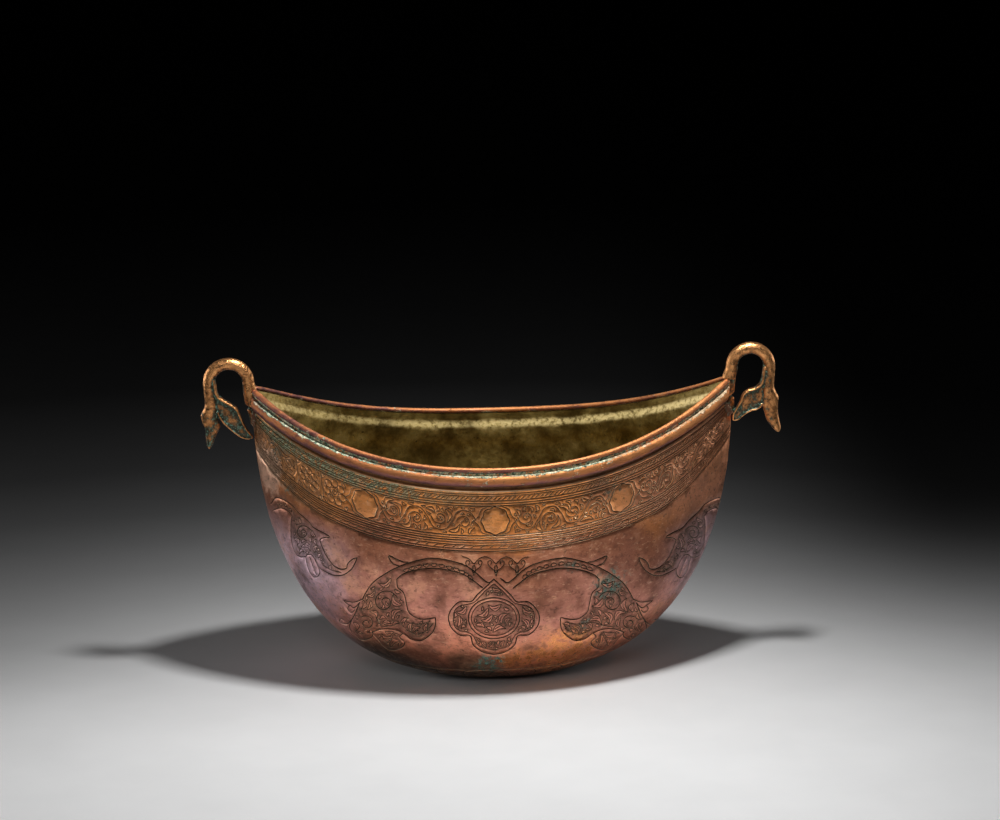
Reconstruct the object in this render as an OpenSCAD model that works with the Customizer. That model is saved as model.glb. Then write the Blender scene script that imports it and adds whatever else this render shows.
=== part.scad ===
// Boat-shaped hanging bowl of beaten copper with a moulded rim and two beaked hooks.
// Millimetres. X runs along the bowl, the front is -Y, Z is up from the flat base.

/* [Bowl] */
// Length of the wall at its top edge, end to end
bowl_length = 219; // [195:1:245]
// Width of the wall at its top edge, at mid-length
bowl_width = 119.4; // [105:0.1:135]
// Height of the lip at mid-length
mid_height = 107.6; // [98:0.1:116]
// Height of the lip at the two ends
end_height = 134.1; // [126:0.1:142]
// Length of the flat base
base_length = 62; // [50:1:80]
// Width of the flat base
base_width = 42; // [34:1:54]
// Thickness of the beaten sheet
wall = 1.4; // [1:0.1:2]
// Fullness of the belly, a lower value is fuller
belly = 0.53; // [0.45:0.01:0.8]
// Share of the rise of the lip that is a gentle curve, the rest turns up near the ends
sheer_share = 0.51; // [0.3:0.01:0.7]
// Sharpness of the upturn near the ends
sheer_power = 3.2; // [2.5:0.1:6]
// How pointed the left end is in plan, 1 is an ellipse
left_point = 1.48; // [1:0.01:1.9]
// How pointed the right end is in plan, 1 is an ellipse
right_point = 1.85; // [1:0.01:1.9]

/* [Rim] */
// Height of the rim zone, from the shoulder to the top of the lip
rim_depth = 11; // [10:0.1:13]
// Depth of the channel pressed in under the moulding
channel_depth = 0.9; // [0.4:0.1:1.4]
// How far the wall leans out at its top edge
flare = 0.5; // [0.3:0.1:1.2]
// Height of the half-round moulding
moulding_height = 5; // [4:0.1:5.6]
// How far the moulding stands out from the wall
moulding_proud = 2.3; // [1.5:0.1:3]
// Open groove between the moulding and the lip wire
rim_groove = 1.4; // [1:0.1:2]
// Diameter of the lip wire
lip_wire_d = 2.4; // [2:0.1:3]

/* [Hooks] */
// Diameter of the neck of a hook
neck_d = 5.5; // [4.5:0.1:6.5]
// Width of the tongue where it lies on the wall
tongue_width = 6; // [5:0.1:8]
// Length of the tongue down the wall, from the top of the lip
tongue_length = 17; // [15:0.5:21]
// Thickness of the foot of the tongue
tongue_foot = 0.9; // [0.6:0.1:1.5]
// Radius of the arch of the left hook, on the line of its neck
left_arch_r = 8.9; // [8.2:0.1:11]
// Radius of the arch of the right hook, on the line of its neck
right_arch_r = 8.5; // [8.2:0.1:11]
// Way out from the edge of the wall to the centre of the left arch
left_reach = 9.8; // [9:0.1:12]
// Way out from the edge of the wall to the centre of the right arch
right_reach = 8.1; // [7.5:0.1:12]
// Way out from the edge of the wall to the middle of the left neck, at its foot
left_stand = 0.2; // [-1:0.1:2]
// Way out from the edge of the wall to the middle of the right neck, at its foot
right_stand = -1.8; // [-2:0.1:2]
// Height of the centre of the left arch above the lip
left_lift = 1.7; // [0.5:0.1:5]
// Height of the centre of the right arch above the lip
right_lift = 3.5; // [0.5:0.1:6]
// Drop from the centre of the arch to the fork of the jaws
head_drop = 9.5; // [7:0.1:11]
// Length of the upper jaw of the left hook
left_snout = 21; // [18:0.5:25]
// Length of the upper jaw of the right hook
right_snout = 21.5; // [18:0.5:25]
// How far the tip of the left snout turns out
left_kick = 1; // [0:0.1:5]
// How far the tip of the right snout turns out
right_kick = 4.8; // [0:0.1:6]
// Drop from the fork to the tip of the left under-jaw
left_jaw_drop = 17.5; // [13:0.5:21]
// Drop from the fork to the tip of the right under-jaw
right_jaw_drop = 15; // [12:0.5:19]
// Upward bow of the left under-jaw
left_jaw_bow = 0.2; // [0:0.1:4]
// Upward bow of the right under-jaw
right_jaw_bow = 0.4; // [0:0.1:4]
// Half width of the under-jaw at its broadest
jaw_half = 5; // [4:0.1:6.5]

/* [Solder] */
// Width of the solder fillet on the wall
solder_width = 1.6; // [1:0.1:2.4]
// Height of the solder fillet against the tongue
solder_height = 0.9; // [0.6:0.1:1.4]

/* [Fit] */
// Clearance between soldered pieces
clearance = 0.15; // [0.1:0.05:0.3]

/* [Hidden] */
tip = 1.35;
half_l = bowl_length / 2 - tip * flare;
half_w = bowl_width / 2 - flare;
turn = 11;
lip_r = lip_wire_d / 2;
lip_seat = lip_r * 0.8;
rim_wall = rim_depth - lip_r - lip_seat - clearance;
moulding_top = rim_wall - rim_groove + lip_r - lip_seat;
moulding_low = moulding_top - moulding_height;
channel_mid = moulding_low * 0.6;
neck_r = neck_d / 2;
tongue_half = tongue_width / 2;
around = 96;
sides = 14;

function unit(v) = v / norm(v);
function ease(t) = t * t * (3 - 2 * t);

// Height of the lip round the bowl, the ends stand higher than the middle
function sheer(c) = sheer_share * c * c + (1 - sheer_share) * pow(abs(c), sheer_power);
function lip_z(a) = mid_height + (end_height - mid_height) * sheer(cos(a));
function shoulder_z(a) = lip_z(a) - rim_depth;

// Belly curve: k runs from 0 at the edge of the base to 1 at the shoulder
function belly_angle(k) = turn + (90 - turn) * k;
function belly_out(k) = (pow(sin(belly_angle(k)), belly) - pow(sin(turn), belly)) / (1 - pow(sin(turn), belly));
function belly_up(k) = 1 - cos(belly_angle(k)) / cos(turn);
function belly_normal(k) = let (lo = max(0, k - 0.01), hi = min(1, k + 0.01))
  unit([(mid_height - rim_depth) * (belly_up(hi) - belly_up(lo)),
        -(half_w - base_width / 2) * (belly_out(hi) - belly_out(lo))]);

// Plan: an ellipse at the base, drawn out to points towards the shoulder; p is the point at one end
function point_of(a) = cos(a) > 0 ? right_point : left_point;
function plan(a, share, p) = sign(sin(a)) * pow(abs(sin(a)), 1 + (p - 1) * share);

// Belly at n out from its outer face
function half_at(k) = base_width / 2 + (half_w - base_width / 2) * belly_out(k);
function body(a, k, n, p) = let (m = n * belly_normal(k)) [
  (base_length / 2 + (half_l - base_length / 2) * belly_out(k) + tip * m[0]) * cos(a),
  (half_at(k) + m[0]) * plan(a, belly_out(k), p),
  shoulder_z(a) * belly_up(k) + m[1]];

// Rim zone: s is the height above the shoulder, n the way out from it
function channel(s) = abs(s - channel_mid) < channel_mid
  ? channel_depth * (1 + cos(180 * (s - channel_mid) / channel_mid)) / 2 : 0;
function lean(s) = s > channel_mid ? flare * pow((s - channel_mid) / (rim_wall - channel_mid), 1.5) : 0;
function rim_n(s) = lean(s) - channel(s);
function rim_point(a, s, n, p) = [(half_l + tip * n) * cos(a), (half_w + n) * plan(a, 1, p), shoulder_z(a) + s];

// Wall at n out from its outer face: u runs from 0 at the base to 1 at the shoulder and 2 at the top edge
function skin(a, u, n, p) = let (s = (u - 1) * rim_wall)
  u <= 1 ? body(a, u, n, p) : rim_point(a, s, rim_n(s) + n, p);
function ring(u, n) = [for (i = [0:around - 1]) let (a = 360 * i / around) skin(a, u, n, point_of(a))];

// Skin through rings of equal length, closed round each ring and capped with a fan at both ends
module loft(rings) {
  count = len(rings[0]);
  last = len(rings) - 1;
  low = [for (j = [0:2]) [for (p = rings[0]) p[j]] * [for (i = [1:count]) 1 / count]];
  top = [for (j = [0:2]) [for (p = rings[last]) p[j]] * [for (i = [1:count]) 1 / count]];
  points = concat([for (r = rings) for (p = r) p], [low, top]);
  walls = [for (r = [0:last - 1]) for (i = [0:count - 1]) let (j = (i + 1) % count)
    each [[r * count + i, (r + 1) * count + i, (r + 1) * count + j],
          [r * count + i, (r + 1) * count + j, r * count + j]]];
  low_cap = [for (i = [0:count - 1]) [len(points) - 2, i, (i + 1) % count]];
  top_cap = [for (i = [0:count - 1]) [len(points) - 1, last * count + (i + 1) % count, last * count + i]];
  polyhedron(points, concat(walls, low_cap, top_cap), convexity = 10);
}

// Sheet bowl, open at the top, cut flat for the base
module bowl_shell() {
  low = [for (q = ring(0, 0)) [q[0], q[1], -2]];
  outside = [for (k = [0:15]) ring(k / 15, 0)];
  rim_out = [for (k = [1:10]) ring(1 + k / 10, 0)];
  rim_in = [for (k = [10:-2:2]) ring(1 + k / 10, -wall)];
  inside = [for (k = [15:-1:0]) ring(k / 15, -wall)];
  color([0.72, 0.45, 0.25])
  difference() {
    loft(concat([low], outside, rim_out, rim_in, inside));
    translate([-base_length, -base_width, -5])
    cube([2 * base_length, 2 * base_width, 5]);
  }
}

// Strips of the rim run from one tongue to the other, turned to the front or to the back
function strip_end(p) = asin(pow((tongue_half + clearance) / half_w, 1 / p));
strip_steps = 48;
strip_from = strip_end(right_point);
strip_to = 180 - strip_end(left_point);
function strip_angle(k) = strip_from + (strip_to - strip_from) * k / strip_steps;

// Half-round moulding, its back follows the wall
function moulding_ring(a) = let (p = point_of(a)) concat(
  [for (j = [0:4]) let (s = moulding_low + moulding_height * j / 4) rim_point(a, s, rim_n(s) + clearance, p)],
  [for (j = [1:7]) let (q = 22.5 * j, s = moulding_low + moulding_height * (1 + cos(q)) / 2)
    rim_point(a, s, rim_n(s) + clearance + moulding_proud * pow(sin(q), 0.8), p)]);

// Lip wire, flattened underneath where it sits on the edge of the wall
function lip_ring(a) = [for (j = [0:11]) let (q = 30 * j)
  rim_point(a, rim_wall + clearance + max(0, lip_seat + lip_r * sin(q)),
            rim_n(rim_wall) - wall / 2 - lip_r * cos(q), point_of(a))];

module rim_strip(rings) {
  color([0.78, 0.48, 0.25])
  loft(rings);
}

module rim_moulding_back() {
  rim_strip([for (k = [0:strip_steps]) moulding_ring(strip_angle(k))]);
}

module rim_moulding_front() {
  rim_strip([for (k = [0:strip_steps]) moulding_ring(360 - strip_angle(strip_steps - k))]);
}

module lip_wire_back() {
  rim_strip([for (k = [0:strip_steps]) lip_ring(strip_angle(k))]);
}

module lip_wire_front() {
  rim_strip([for (k = [0:strip_steps]) lip_ring(360 - strip_angle(strip_steps - k))]);
}

// Line of the wall at the end of the bowl, found from a height
end_shoulder = end_height - rim_depth;
edge_z = end_shoulder + rim_wall;
edge_x = half_l + tip * rim_n(rim_wall);
tongue_z = end_height - tongue_length;
function u_of(z) = z < end_shoulder
  ? (acos(cos(turn) * (1 - z / end_shoulder)) - turn) / (90 - turn) : 1 + (z - end_shoulder) / rim_wall;
function on_end(y, z, n, p) = let (
  u = u_of(z),
  power = 1 + (p - 1) * belly_out(min(1, u)),
  a = asin(pow(abs(y) / half_at(min(1, u)), 1 / power)))
  skin(sign(y) * a, u, n, p);

// Tongue: k runs from 0 at its foot to 1 at the top edge of the wall, where it is out thick
function tongue_w(k) = tongue_half * (0.55 + 0.45 * ease(min(1, k / 0.4)));
function tongue_t(k, out) = tongue_foot + (out - tongue_foot) * ease(min(1, k / 0.75));
function tongue_ring(k, up, out, p) = [for (i = [0:sides - 1]) let (q = 360 * i / sides)
  on_end(-tongue_w(k) * cos(q), tongue_z + (edge_z - tongue_z) * k,
         clearance + (q < 180 ? tongue_t(k, out) * pow(max(0, sin(q)), 0.8) : 0), p) + [0, 0, up]];

// Free ring at n beyond the wall and height z, facing along [tn, tz]
function neck_ring(n, z, tn, tz, h, d) = [for (i = [0:sides - 1])
  let (q = 360 * i / sides, t = [tn, tz] / norm([tn, tz]))
  [edge_x + n + t[1] * h * sin(q), -d * cos(q), z - t[0] * h * sin(q)]];

// Upper jaw: t runs from 0 at the fork to 1 at the tip of the snout
function snout_half(t) = neck_r * (1 + 0.45 * pow(sin(180 * min(1, t / 0.62)), 1.2)) * (1 - 0.28 * t)
  * (t > 0.93 ? sqrt(max(0.04, 1 - pow((t - 0.93) / 0.07, 2))) : 1);
function snout_n(t, kick) = 0.7 * sin(180 * min(1, t / 0.6)) + kick * pow(t, 3);

// Hook at the right-hand end: tongue, neck, arch and upper jaw in one sweep, then the under-jaw
module hook(arch_r, reach, stand, lift, snout, kick, jaw_drop, jaw_bow, p) {
  start_n = reach - arch_r;
  start_z = end_height + lift;
  fork_n = reach + arch_r - 0.4;
  fork_z = start_z - head_drop;
  root_h = neck_r + 0.35;
  root_z = edge_z + clearance + 0.1;
  out = (stand + root_h) / tip;
  tongue = [for (k = [0:9]) tongue_ring(k / 9, 0, out, p)];
  ledge = [tongue_ring(1, clearance, out, p)];
  root = [for (k = [0:4]) let (e = ease(k / 5))
    neck_ring(stand + (start_n - stand) * e, root_z + (start_z - root_z) * k / 5, 0, 1,
              root_h + (neck_r - root_h) * e, tongue_half - clearance + (neck_r - tongue_half + clearance) * e)];
  arch = [for (k = [0:18]) let (b = 180 - 10 * k)
    neck_ring(reach + arch_r * cos(b), start_z + arch_r * sin(b), sin(b), -cos(b), neck_r, neck_r)];
  fall = [for (k = [1:3])
    neck_ring(reach + arch_r - 0.4 * k / 4, start_z - head_drop * k / 4, -0.05, -1, neck_r, neck_r)];
  jaw = [for (k = [0:18]) let (t = 1 - pow(1 - k / 18, 1.2))
    neck_ring(fork_n + snout_n(t, kick), fork_z - snout * t, 3 * kick * t * t, -snout,
              snout_half(t), neck_r * (1 - 0.45 * t) * snout_half(t) / snout_half(min(t, 0.93)))];
  from = [fork_n, fork_z + 1];
  end_z = fork_z - jaw_drop;
  end = [on_end(0, end_z, 0, p)[0] - edge_x + 2 * clearance + 0.4, end_z];
  way = (end - from) / norm(end - from);
  bow = (from + end) / 2 + jaw_bow * [way[1], -way[0]];
  under = [for (k = [0:14]) let (t = k / 14,
    c = (1 - t) * (1 - t) * from + 2 * t * (1 - t) * bow + t * t * end,
    d = (1 - t) * (bow - from) + t * (end - bow))
    neck_ring(c[0], c[1], d[0], d[1], jaw_half * (1 - pow(t, 2.2)) * (0.55 + 0.62 * t) + 0.4,
              neck_r * 0.85 * (1 - 0.6 * t))];
  color([0.6, 0.42, 0.24])
  union() {
    loft(concat(tongue, ledge, root, arch, fall, jaw));
    loft(under);
  }
}

module hook_right() {
  hook(right_arch_r, right_reach, right_stand, right_lift, right_snout, right_kick,
       right_jaw_drop, right_jaw_bow, right_point);
}

module hook_left() {
  mirror([1, 0, 0])
  hook(left_arch_r, left_reach, left_stand, left_lift, left_snout, left_kick,
       left_jaw_drop, left_jaw_bow, left_point);
}

// Solder fillet on the wall, down one side of the tongue, round its foot and up the other side
solder_z = end_shoulder + moulding_low - 2 * clearance;
function fillet_ring(y0, z0, y1, z1, p) = [
  on_end(y0, z0, clearance, p),
  on_end(y0, z0, clearance + solder_height, p),
  on_end((y0 + y1) / 2, (z0 + z1) / 2, clearance + solder_height * 0.4, p),
  on_end(y1, z1, clearance, p)];
function fillet_side(k, way, p) = let (
  z = solder_z + (tongue_z - solder_z) * k,
  y = tongue_w((z - tongue_z) / (edge_z - tongue_z)) + clearance)
  fillet_ring(way * y, z, way * (y + solder_width), z, p);
function fillet_foot(q, p) = let (
  y = tongue_w(0) + clearance, z = tongue_z - clearance * sin(q))
  fillet_ring(-y * cos(q), z, -(y + solder_width) * cos(q), z - solder_width * sin(q), p);

module solder_fillet(p) {
  color([0.66, 0.66, 0.62])
  loft(concat([for (k = [0:7]) fillet_side(k / 8, -1, p)],
              [for (k = [0:10]) fillet_foot(18 * k, p)],
              [for (k = [7:-1:0]) fillet_side(k / 8, 1, p)]));
}

module solder_right() {
  solder_fillet(right_point);
}

module solder_left() {
  mirror([1, 0, 0])
  solder_fillet(left_point);
}

bowl_shell();
lip_wire_front();
lip_wire_back();
rim_moulding_front();
rim_moulding_back();
hook_left();
hook_right();
solder_left();
solder_right();
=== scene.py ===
import math
import random

import bpy
import numpy as np
from mathutils import Matrix, Vector, kdtree, noise
from mathutils.geometry import delaunay_2d_cdt


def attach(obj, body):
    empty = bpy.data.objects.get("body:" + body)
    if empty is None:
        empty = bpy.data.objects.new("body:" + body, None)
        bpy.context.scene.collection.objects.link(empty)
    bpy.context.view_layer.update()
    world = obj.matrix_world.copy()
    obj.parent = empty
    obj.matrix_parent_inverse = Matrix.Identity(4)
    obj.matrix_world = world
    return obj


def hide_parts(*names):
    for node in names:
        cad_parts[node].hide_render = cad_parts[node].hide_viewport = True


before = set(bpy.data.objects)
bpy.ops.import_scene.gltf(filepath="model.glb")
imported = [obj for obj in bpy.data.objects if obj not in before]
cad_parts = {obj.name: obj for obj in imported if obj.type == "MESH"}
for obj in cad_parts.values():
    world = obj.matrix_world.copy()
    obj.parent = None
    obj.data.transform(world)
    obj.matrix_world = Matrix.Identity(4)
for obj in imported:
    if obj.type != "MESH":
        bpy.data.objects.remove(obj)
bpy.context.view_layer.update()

bl_info = {
    "name": "Hanging bowl",
    "version": (1, 0, 0),
    "blender": (4, 5, 0),
    "location": "View3D > Sidebar > Hanging bowl",
    "description": "Engraved copper bowl with a moulded rim and two beaked hooks",
    "category": "Add Mesh",
}

MM = 0.001


def length(name, description, default):
    """A length in metres, shown in the scene's units."""
    return bpy.props.FloatProperty(
        name=name, description=description, default=default, unit="LENGTH", precision=5
    )


def factor(name, description, default):
    """A plain number without a unit."""
    return bpy.props.FloatProperty(name=name, description=description, default=default)


def angle(name, description, degrees):
    """An angle, given in degrees."""
    return bpy.props.FloatProperty(
        name=name, description=description, default=math.radians(degrees), subtype="ANGLE"
    )


def tint(name, description, colour):
    """A colour of a finish."""
    return bpy.props.FloatVectorProperty(
        name=name, description=description, default=(*colour, 1.0), size=4, min=0.0, max=1.0, subtype="COLOR"
    )


class BowlSettings(bpy.types.PropertyGroup):
    """Form of the beaten sheet and of its rim."""

    bowl_length: length("Length", "Length of the wall at its top edge", 0.219)
    bowl_width: length("Width", "Width of the wall at its top edge", 0.1194)
    mid_height: length("Middle height", "Height of the lip at mid-length", 0.1076)
    end_height: length("End height", "Height of the lip at the ends", 0.1341)
    base_length: length("Base length", "Length of the flat base", 0.062)
    base_width: length("Base width", "Width of the flat base", 0.042)
    wall: length("Wall", "Thickness of the sheet", 0.0014)
    belly: factor("Belly", "Fullness of the belly, lower is fuller", 0.53)
    sheer_share: factor("Gentle rise", "Share of the lip's rise that is a gentle curve", 0.51)
    sheer_power: factor("Upturn", "Sharpness of the upturn near the ends", 3.2)
    left_point: factor("Left point", "How pointed the left end is in plan", 1.48)
    right_point: factor("Right point", "How pointed the right end is in plan", 1.85)
    rim_depth: length("Rim depth", "Height of the rim zone", 0.011)
    channel_depth: length("Channel", "Depth of the channel under the moulding", 0.0009)
    flare: length("Flare", "How far the wall leans out at its edge", 0.0005)
    moulding_height: length("Moulding height", "Height of the half-round moulding", 0.005)
    moulding_proud: length("Moulding depth", "How far the moulding stands out", 0.0023)
    rim_groove: length("Rim groove", "Open groove between moulding and lip wire", 0.0014)
    lip_wire_d: length("Lip wire", "Diameter of the lip wire", 0.0024)
    clearance: length("Clearance", "Gap between soldered pieces", 0.00015)
    dent: length("Dents", "Height of the beaten unevenness of the sheet", 0.00028)


class OrnamentSettings(bpy.types.PropertyGroup):
    """Engraving on the outside of the bowl."""

    line_half: length("Line", "Half the width of a main line", 0.00031)
    line_depth: length("Line depth", "Depth of a main line", 0.00034)
    fine_half: length("Fine line", "Half the width of a fine line", 0.00022)
    fine_depth: length("Fine depth", "Depth of a fine line", 0.00026)


class HookSettings(bpy.types.PropertyGroup):
    """Sizes of the two hooks."""

    neck_d: length("Neck", "Diameter of the neck", 0.0055)
    tongue_width: length("Tongue width", "Width of the tongue on the wall", 0.006)
    tongue_length: length("Tongue length", "Length of the tongue from the lip", 0.017)
    tongue_foot: length("Tongue foot", "Thickness of the foot of the tongue", 0.0009)
    head_drop: length("Head drop", "Drop from the arch centre to the start of the snout", 0.0095)
    left_arch_r: length("Left arch", "Radius of the left arch", 0.0089)
    right_arch_r: length("Right arch", "Radius of the right arch", 0.0085)
    left_reach: length("Left reach", "Way out from the wall to the left arch centre", 0.0098)
    right_reach: length("Right reach", "Way out from the wall to the right arch centre", 0.0081)
    left_stand: length("Left stand", "Way out to the foot of the left neck", 0.0002)
    right_stand: length("Right stand", "Way out to the foot of the right neck", -0.0018)
    left_lift: length("Left lift", "Height of the left arch centre over the lip", 0.0017)
    right_lift: length("Right lift", "Height of the right arch centre over the lip", 0.0035)
    left_snout: length("Left snout", "Length of the left upper jaw", 0.021)
    right_snout: length("Right snout", "Length of the right upper jaw", 0.0215)
    left_kick: length("Left kick", "Outward turn of the left snout", 0.001)
    right_kick: length("Right kick", "Outward turn of the right snout", 0.0046)
    left_sag: length("Left sag", "Drop of the start of the left under-jaw", 0.0)
    right_sag: length("Right sag", "Drop of the start of the right under-jaw", 0.0022)
    left_fork: length("Left fork", "Drop from the arch centre to the mouth of the left hook", 0.0138)
    right_fork: length("Right fork", "Drop from the arch centre to the mouth of the right hook", 0.018)
    voxel: length("Voxel", "Grain of the cast surface", 0.00034)


class TintSettings(bpy.types.PropertyGroup):
    """Colours of the copper, the tin and the bronze."""

    # The mauve is partly the copper's tarnish and partly a painted sheen of reflected light.
    mauve: tint("Mauve", "Bloom low down at both ends of the bowl", (1.0, 0.71, 0.83))
    cloud: tint("Dark cloud", "Dark clouds on the copper", (0.17, 0.066, 0.04))
    fresh: tint("Fresh copper", "Pale clouds on the copper", (0.88, 0.44, 0.25))
    red: tint("Red copper", "Right part of the band", (0.92, 0.40, 0.24))
    leaf: tint("Leaves", "Leaves of the band", (1.0, 0.42, 0.14))
    # Painted highlight: this light copper at the left end stands in for light from the left lamp.
    painted_highlight: tint("Pale copper", "Rubbed spots at the left end", (1.0, 0.60, 0.42))
    # Painted reflection: this orange copper low on the right stands in for the lit floor mirrored in the
    # metal.
    painted_reflection: tint("Glow", "Rubbed copper low on the right", (1.0, 0.40, 0.14))
    # Painted highlight: the bright lips of the cuts stand in for light catching them.
    edge: tint("Bright edge", "Bright edge of a cut", (1.0, 0.72, 0.44))
    soot: tint("Soot", "Dark bottom of a cut", (0.025, 0.018, 0.012))
    # Painted highlight in the band under the edge inside, and rubbed tin at the ends.
    tin: tint("Tin", "Rubbed tin under the edge inside", (0.74, 0.57, 0.24))
    rim_speck: tint("Rim specks", "Dark specks on the rim", (0.06, 0.03, 0.02))
    bronze_dark: tint("Dark bronze", "Hollows of the hooks", (0.075, 0.085, 0.06))
    bronze_green: tint("Green bronze", "Green specks in the hollows of the hooks", (0.15, 0.28, 0.2))


class StageSettings(bpy.types.PropertyGroup):
    """Camera of the view; its frame is 1000 units wide and 820 high."""

    elevation: angle("Elevation", "Camera angle above the horizon", 16.73)
    azimuth: angle("Azimuth", "Camera angle round the bowl", -1.26)
    roll: angle("Roll", "Camera roll", -1.17)
    distance: length("Distance", "Distance of the camera from the base", 1.88)
    pixel: length("Frame unit", "Size of a frame unit at the base", 0.000463)
    base_x: factor("Base across", "Where the middle of the base falls across the frame", 497.7)
    base_y: factor("Base down", "Where the middle of the base falls down the frame", 663.1)
    above: factor("Above", "Power of the light over the bowl, in watts", 2.65)
    front: factor("Front", "Power of the light at the front, in watts", 2.75)
    left: factor("Left", "Power of the light on the left, in watts", 3.8)
    right: factor("Right", "Power of the light on the right, in watts", 2.2)


# Where the origin of the drawing falls in the camera's frame, and the size of that frame
DRAWN_X = 498.0
DRAWN_Y = 676.0
FRAME_W = 1000
FRAME_H = 820
SENSOR = 36
# Share by which the band narrows towards the ends
BAND_CLOSE = 0.37


def ease(t):
    """Smooth step from 0 to 1."""
    t = np.clip(t, 0.0, 1.0)
    return t * t * (3 - 2 * t)


class BowlShape:
    """The wall in millimetres: a is the angle round it from the middle of the front, k the way up."""

    turn = math.radians(11)
    tip = 1.35

    def __init__(self, s):
        self.wall = s.wall * 1000
        self.flare = s.flare * 1000
        self.half_l = s.bowl_length * 500 - self.tip * self.flare
        self.half_w = s.bowl_width * 500 - self.flare
        self.base_l = s.base_length * 500
        self.base_w = s.base_width * 500
        self.mid_z = s.mid_height * 1000
        self.end_z = s.end_height * 1000
        self.belly = s.belly
        self.share = s.sheer_share
        self.points = (s.left_point, s.right_point)
        self.power = s.sheer_power
        self.rim_depth = s.rim_depth * 1000
        self.channel_depth = s.channel_depth * 1000
        self.gap = s.clearance * 1000
        self.lip_r = s.lip_wire_d * 500
        self.lip_seat = self.lip_r * 0.8
        self.rim_wall = self.rim_depth - self.lip_r - self.lip_seat - self.gap
        self.groove = s.rim_groove * 1000
        self.mould_h = s.moulding_height * 1000
        self.mould_out = s.moulding_proud * 1000
        self.mould_top = self.rim_wall - self.groove + self.lip_r - self.lip_seat
        self.mould_low = self.mould_top - self.mould_h
        self.channel_mid = self.mould_low * 0.6
        self.dent = s.dent * 1000
        ks = np.linspace(0, 1, 400)
        line = self.body(np.zeros(400), ks)
        steps = np.linalg.norm(np.diff(line, axis=0), axis=1)
        self.k_table = ks
        self.v_table = np.concatenate([[0], np.cumsum(steps)])
        self.v_top = self.v_table[-1]
        angles = np.linspace(-math.pi / 2, math.pi / 2, 721)
        line = self.body(angles, np.ones(721))[:, :2]
        steps = np.linalg.norm(np.diff(line, axis=0), axis=1)
        along = np.concatenate([[0], np.cumsum(steps)])
        self.a_table = angles
        self.s_table = along - along[-1] / 2

    def sheer(self, a):
        """Share of the lip's rise that is reached at angle a."""
        c = np.abs(np.sin(a))
        return self.share * c ** 2 + (1 - self.share) * c ** self.power

    def lip_z(self, a):
        """Height of the lip."""
        return self.mid_z + (self.end_z - self.mid_z) * self.sheer(a)

    def shoulder_z(self, a):
        """Height of the shoulder, where the belly ends and the rim zone starts."""
        return self.lip_z(a) - self.rim_depth

    def belly_out(self, k):
        """Share of the way out from the base to the shoulder."""
        phi = self.turn + (math.pi / 2 - self.turn) * k
        low = math.sin(self.turn) ** self.belly
        return (np.sin(phi) ** self.belly - low) / (1 - low)

    def belly_up(self, k):
        """Share of the way up from the base to the shoulder."""
        phi = self.turn + (math.pi / 2 - self.turn) * k
        return 1 - np.cos(phi) / math.cos(self.turn)

    def reach(self, k):
        """Half length and half width of the wall at k."""
        out = self.belly_out(k)
        return (self.base_l + (self.half_l - self.base_l) * out,
                self.base_w + (self.half_w - self.base_w) * out)

    def plan(self, a, share):
        """Way to the front at angle a, drawn out to points at both ends."""
        power = 1 + (np.where(np.sin(a) > 0, self.points[1], self.points[0]) - 1) * share
        c = np.cos(a)
        return np.sign(c) * np.abs(c) ** power

    def section(self, k):
        """Outward and upward part of the normal of the belly section."""
        lo, hi = np.clip(k - 0.01, 0, 1), np.clip(k + 0.01, 0, 1)
        out = (self.mid_z - self.rim_depth) * (self.belly_up(hi) - self.belly_up(lo))
        up = -(self.half_w - self.base_w) * (self.belly_out(hi) - self.belly_out(lo))
        size = np.hypot(out, up)
        return out / size, up / size

    def body(self, a, k, n=0.0):
        """Point of the belly, n out from its outer face."""
        rx, ry = self.reach(k)
        out, up = self.section(k)
        return np.stack([(rx + self.tip * n * out) * np.sin(a),
                         -(ry + n * out) * self.plan(a, self.belly_out(k)),
                         self.shoulder_z(a) * self.belly_up(k) + n * up], -1)

    def slopes(self, a, k):
        """Change of the wall along a and along k."""
        h = 1e-3
        k0, k1 = np.clip(k - h, 0, 1), np.clip(k + h, 0, 1)
        along = (self.body(a + h, k) - self.body(a - h, k)) / (2 * h)
        up = (self.body(a, k1) - self.body(a, k0)) / (k1 - k0)[..., None]
        return along, up

    def normal(self, a, k):
        """Direction straight out of the wall."""
        along, up = self.slopes(a, k)
        n = np.cross(along, up)
        return n / np.linalg.norm(n, axis=-1, keepdims=True)

    def rim_n(self, s):
        """Way out of the rim zone at height s over the shoulder."""
        s = np.asarray(s, float)
        near = np.clip((s - self.channel_mid) / self.channel_mid, -1, 1)
        channel = self.channel_depth * (1 + np.cos(math.pi * near)) / 2
        lean = np.clip((s - self.channel_mid) / (self.rim_wall - self.channel_mid), 0, None)
        return self.flare * lean ** 1.5 - channel

    def rim_point(self, a, s, n):
        """Point of the rim zone, s above the shoulder and n out from it."""
        return np.stack(np.broadcast_arrays(
            (self.half_l + self.tip * n) * np.sin(a), -(self.half_w + n) * self.plan(a, 1.0),
            self.shoulder_z(a) + s), -1)

    def to_plane(self, a, k):
        """Flat working plane for the engraving, in millimetres."""
        along = np.interp(a, self.a_table, self.s_table)
        return np.stack([along, np.interp(k, self.k_table, self.v_table)], -1)

    def from_plane(self, q):
        """Angle and way up of points of the working plane."""
        return np.interp(q[:, 0], self.s_table, self.a_table), np.interp(q[:, 1], self.v_table, self.k_table)

    def band(self, s, depth):
        """Place on the band under the rim: s along it from the middle, depth below the shoulder."""
        s = np.asarray(s, float)
        a = np.interp(s, self.s_table, self.a_table)
        close = np.clip((np.abs(s) / self.s_table[-1] - 0.62) / 0.38, 0, 1)
        scale = self.shoulder_z(np.zeros(1))[0] / self.shoulder_z(a)
        v = self.v_top - np.asarray(depth, float) * (1 - BAND_CLOSE * close ** 1.6) * scale
        return a, np.interp(v, self.v_table, self.k_table)

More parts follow.
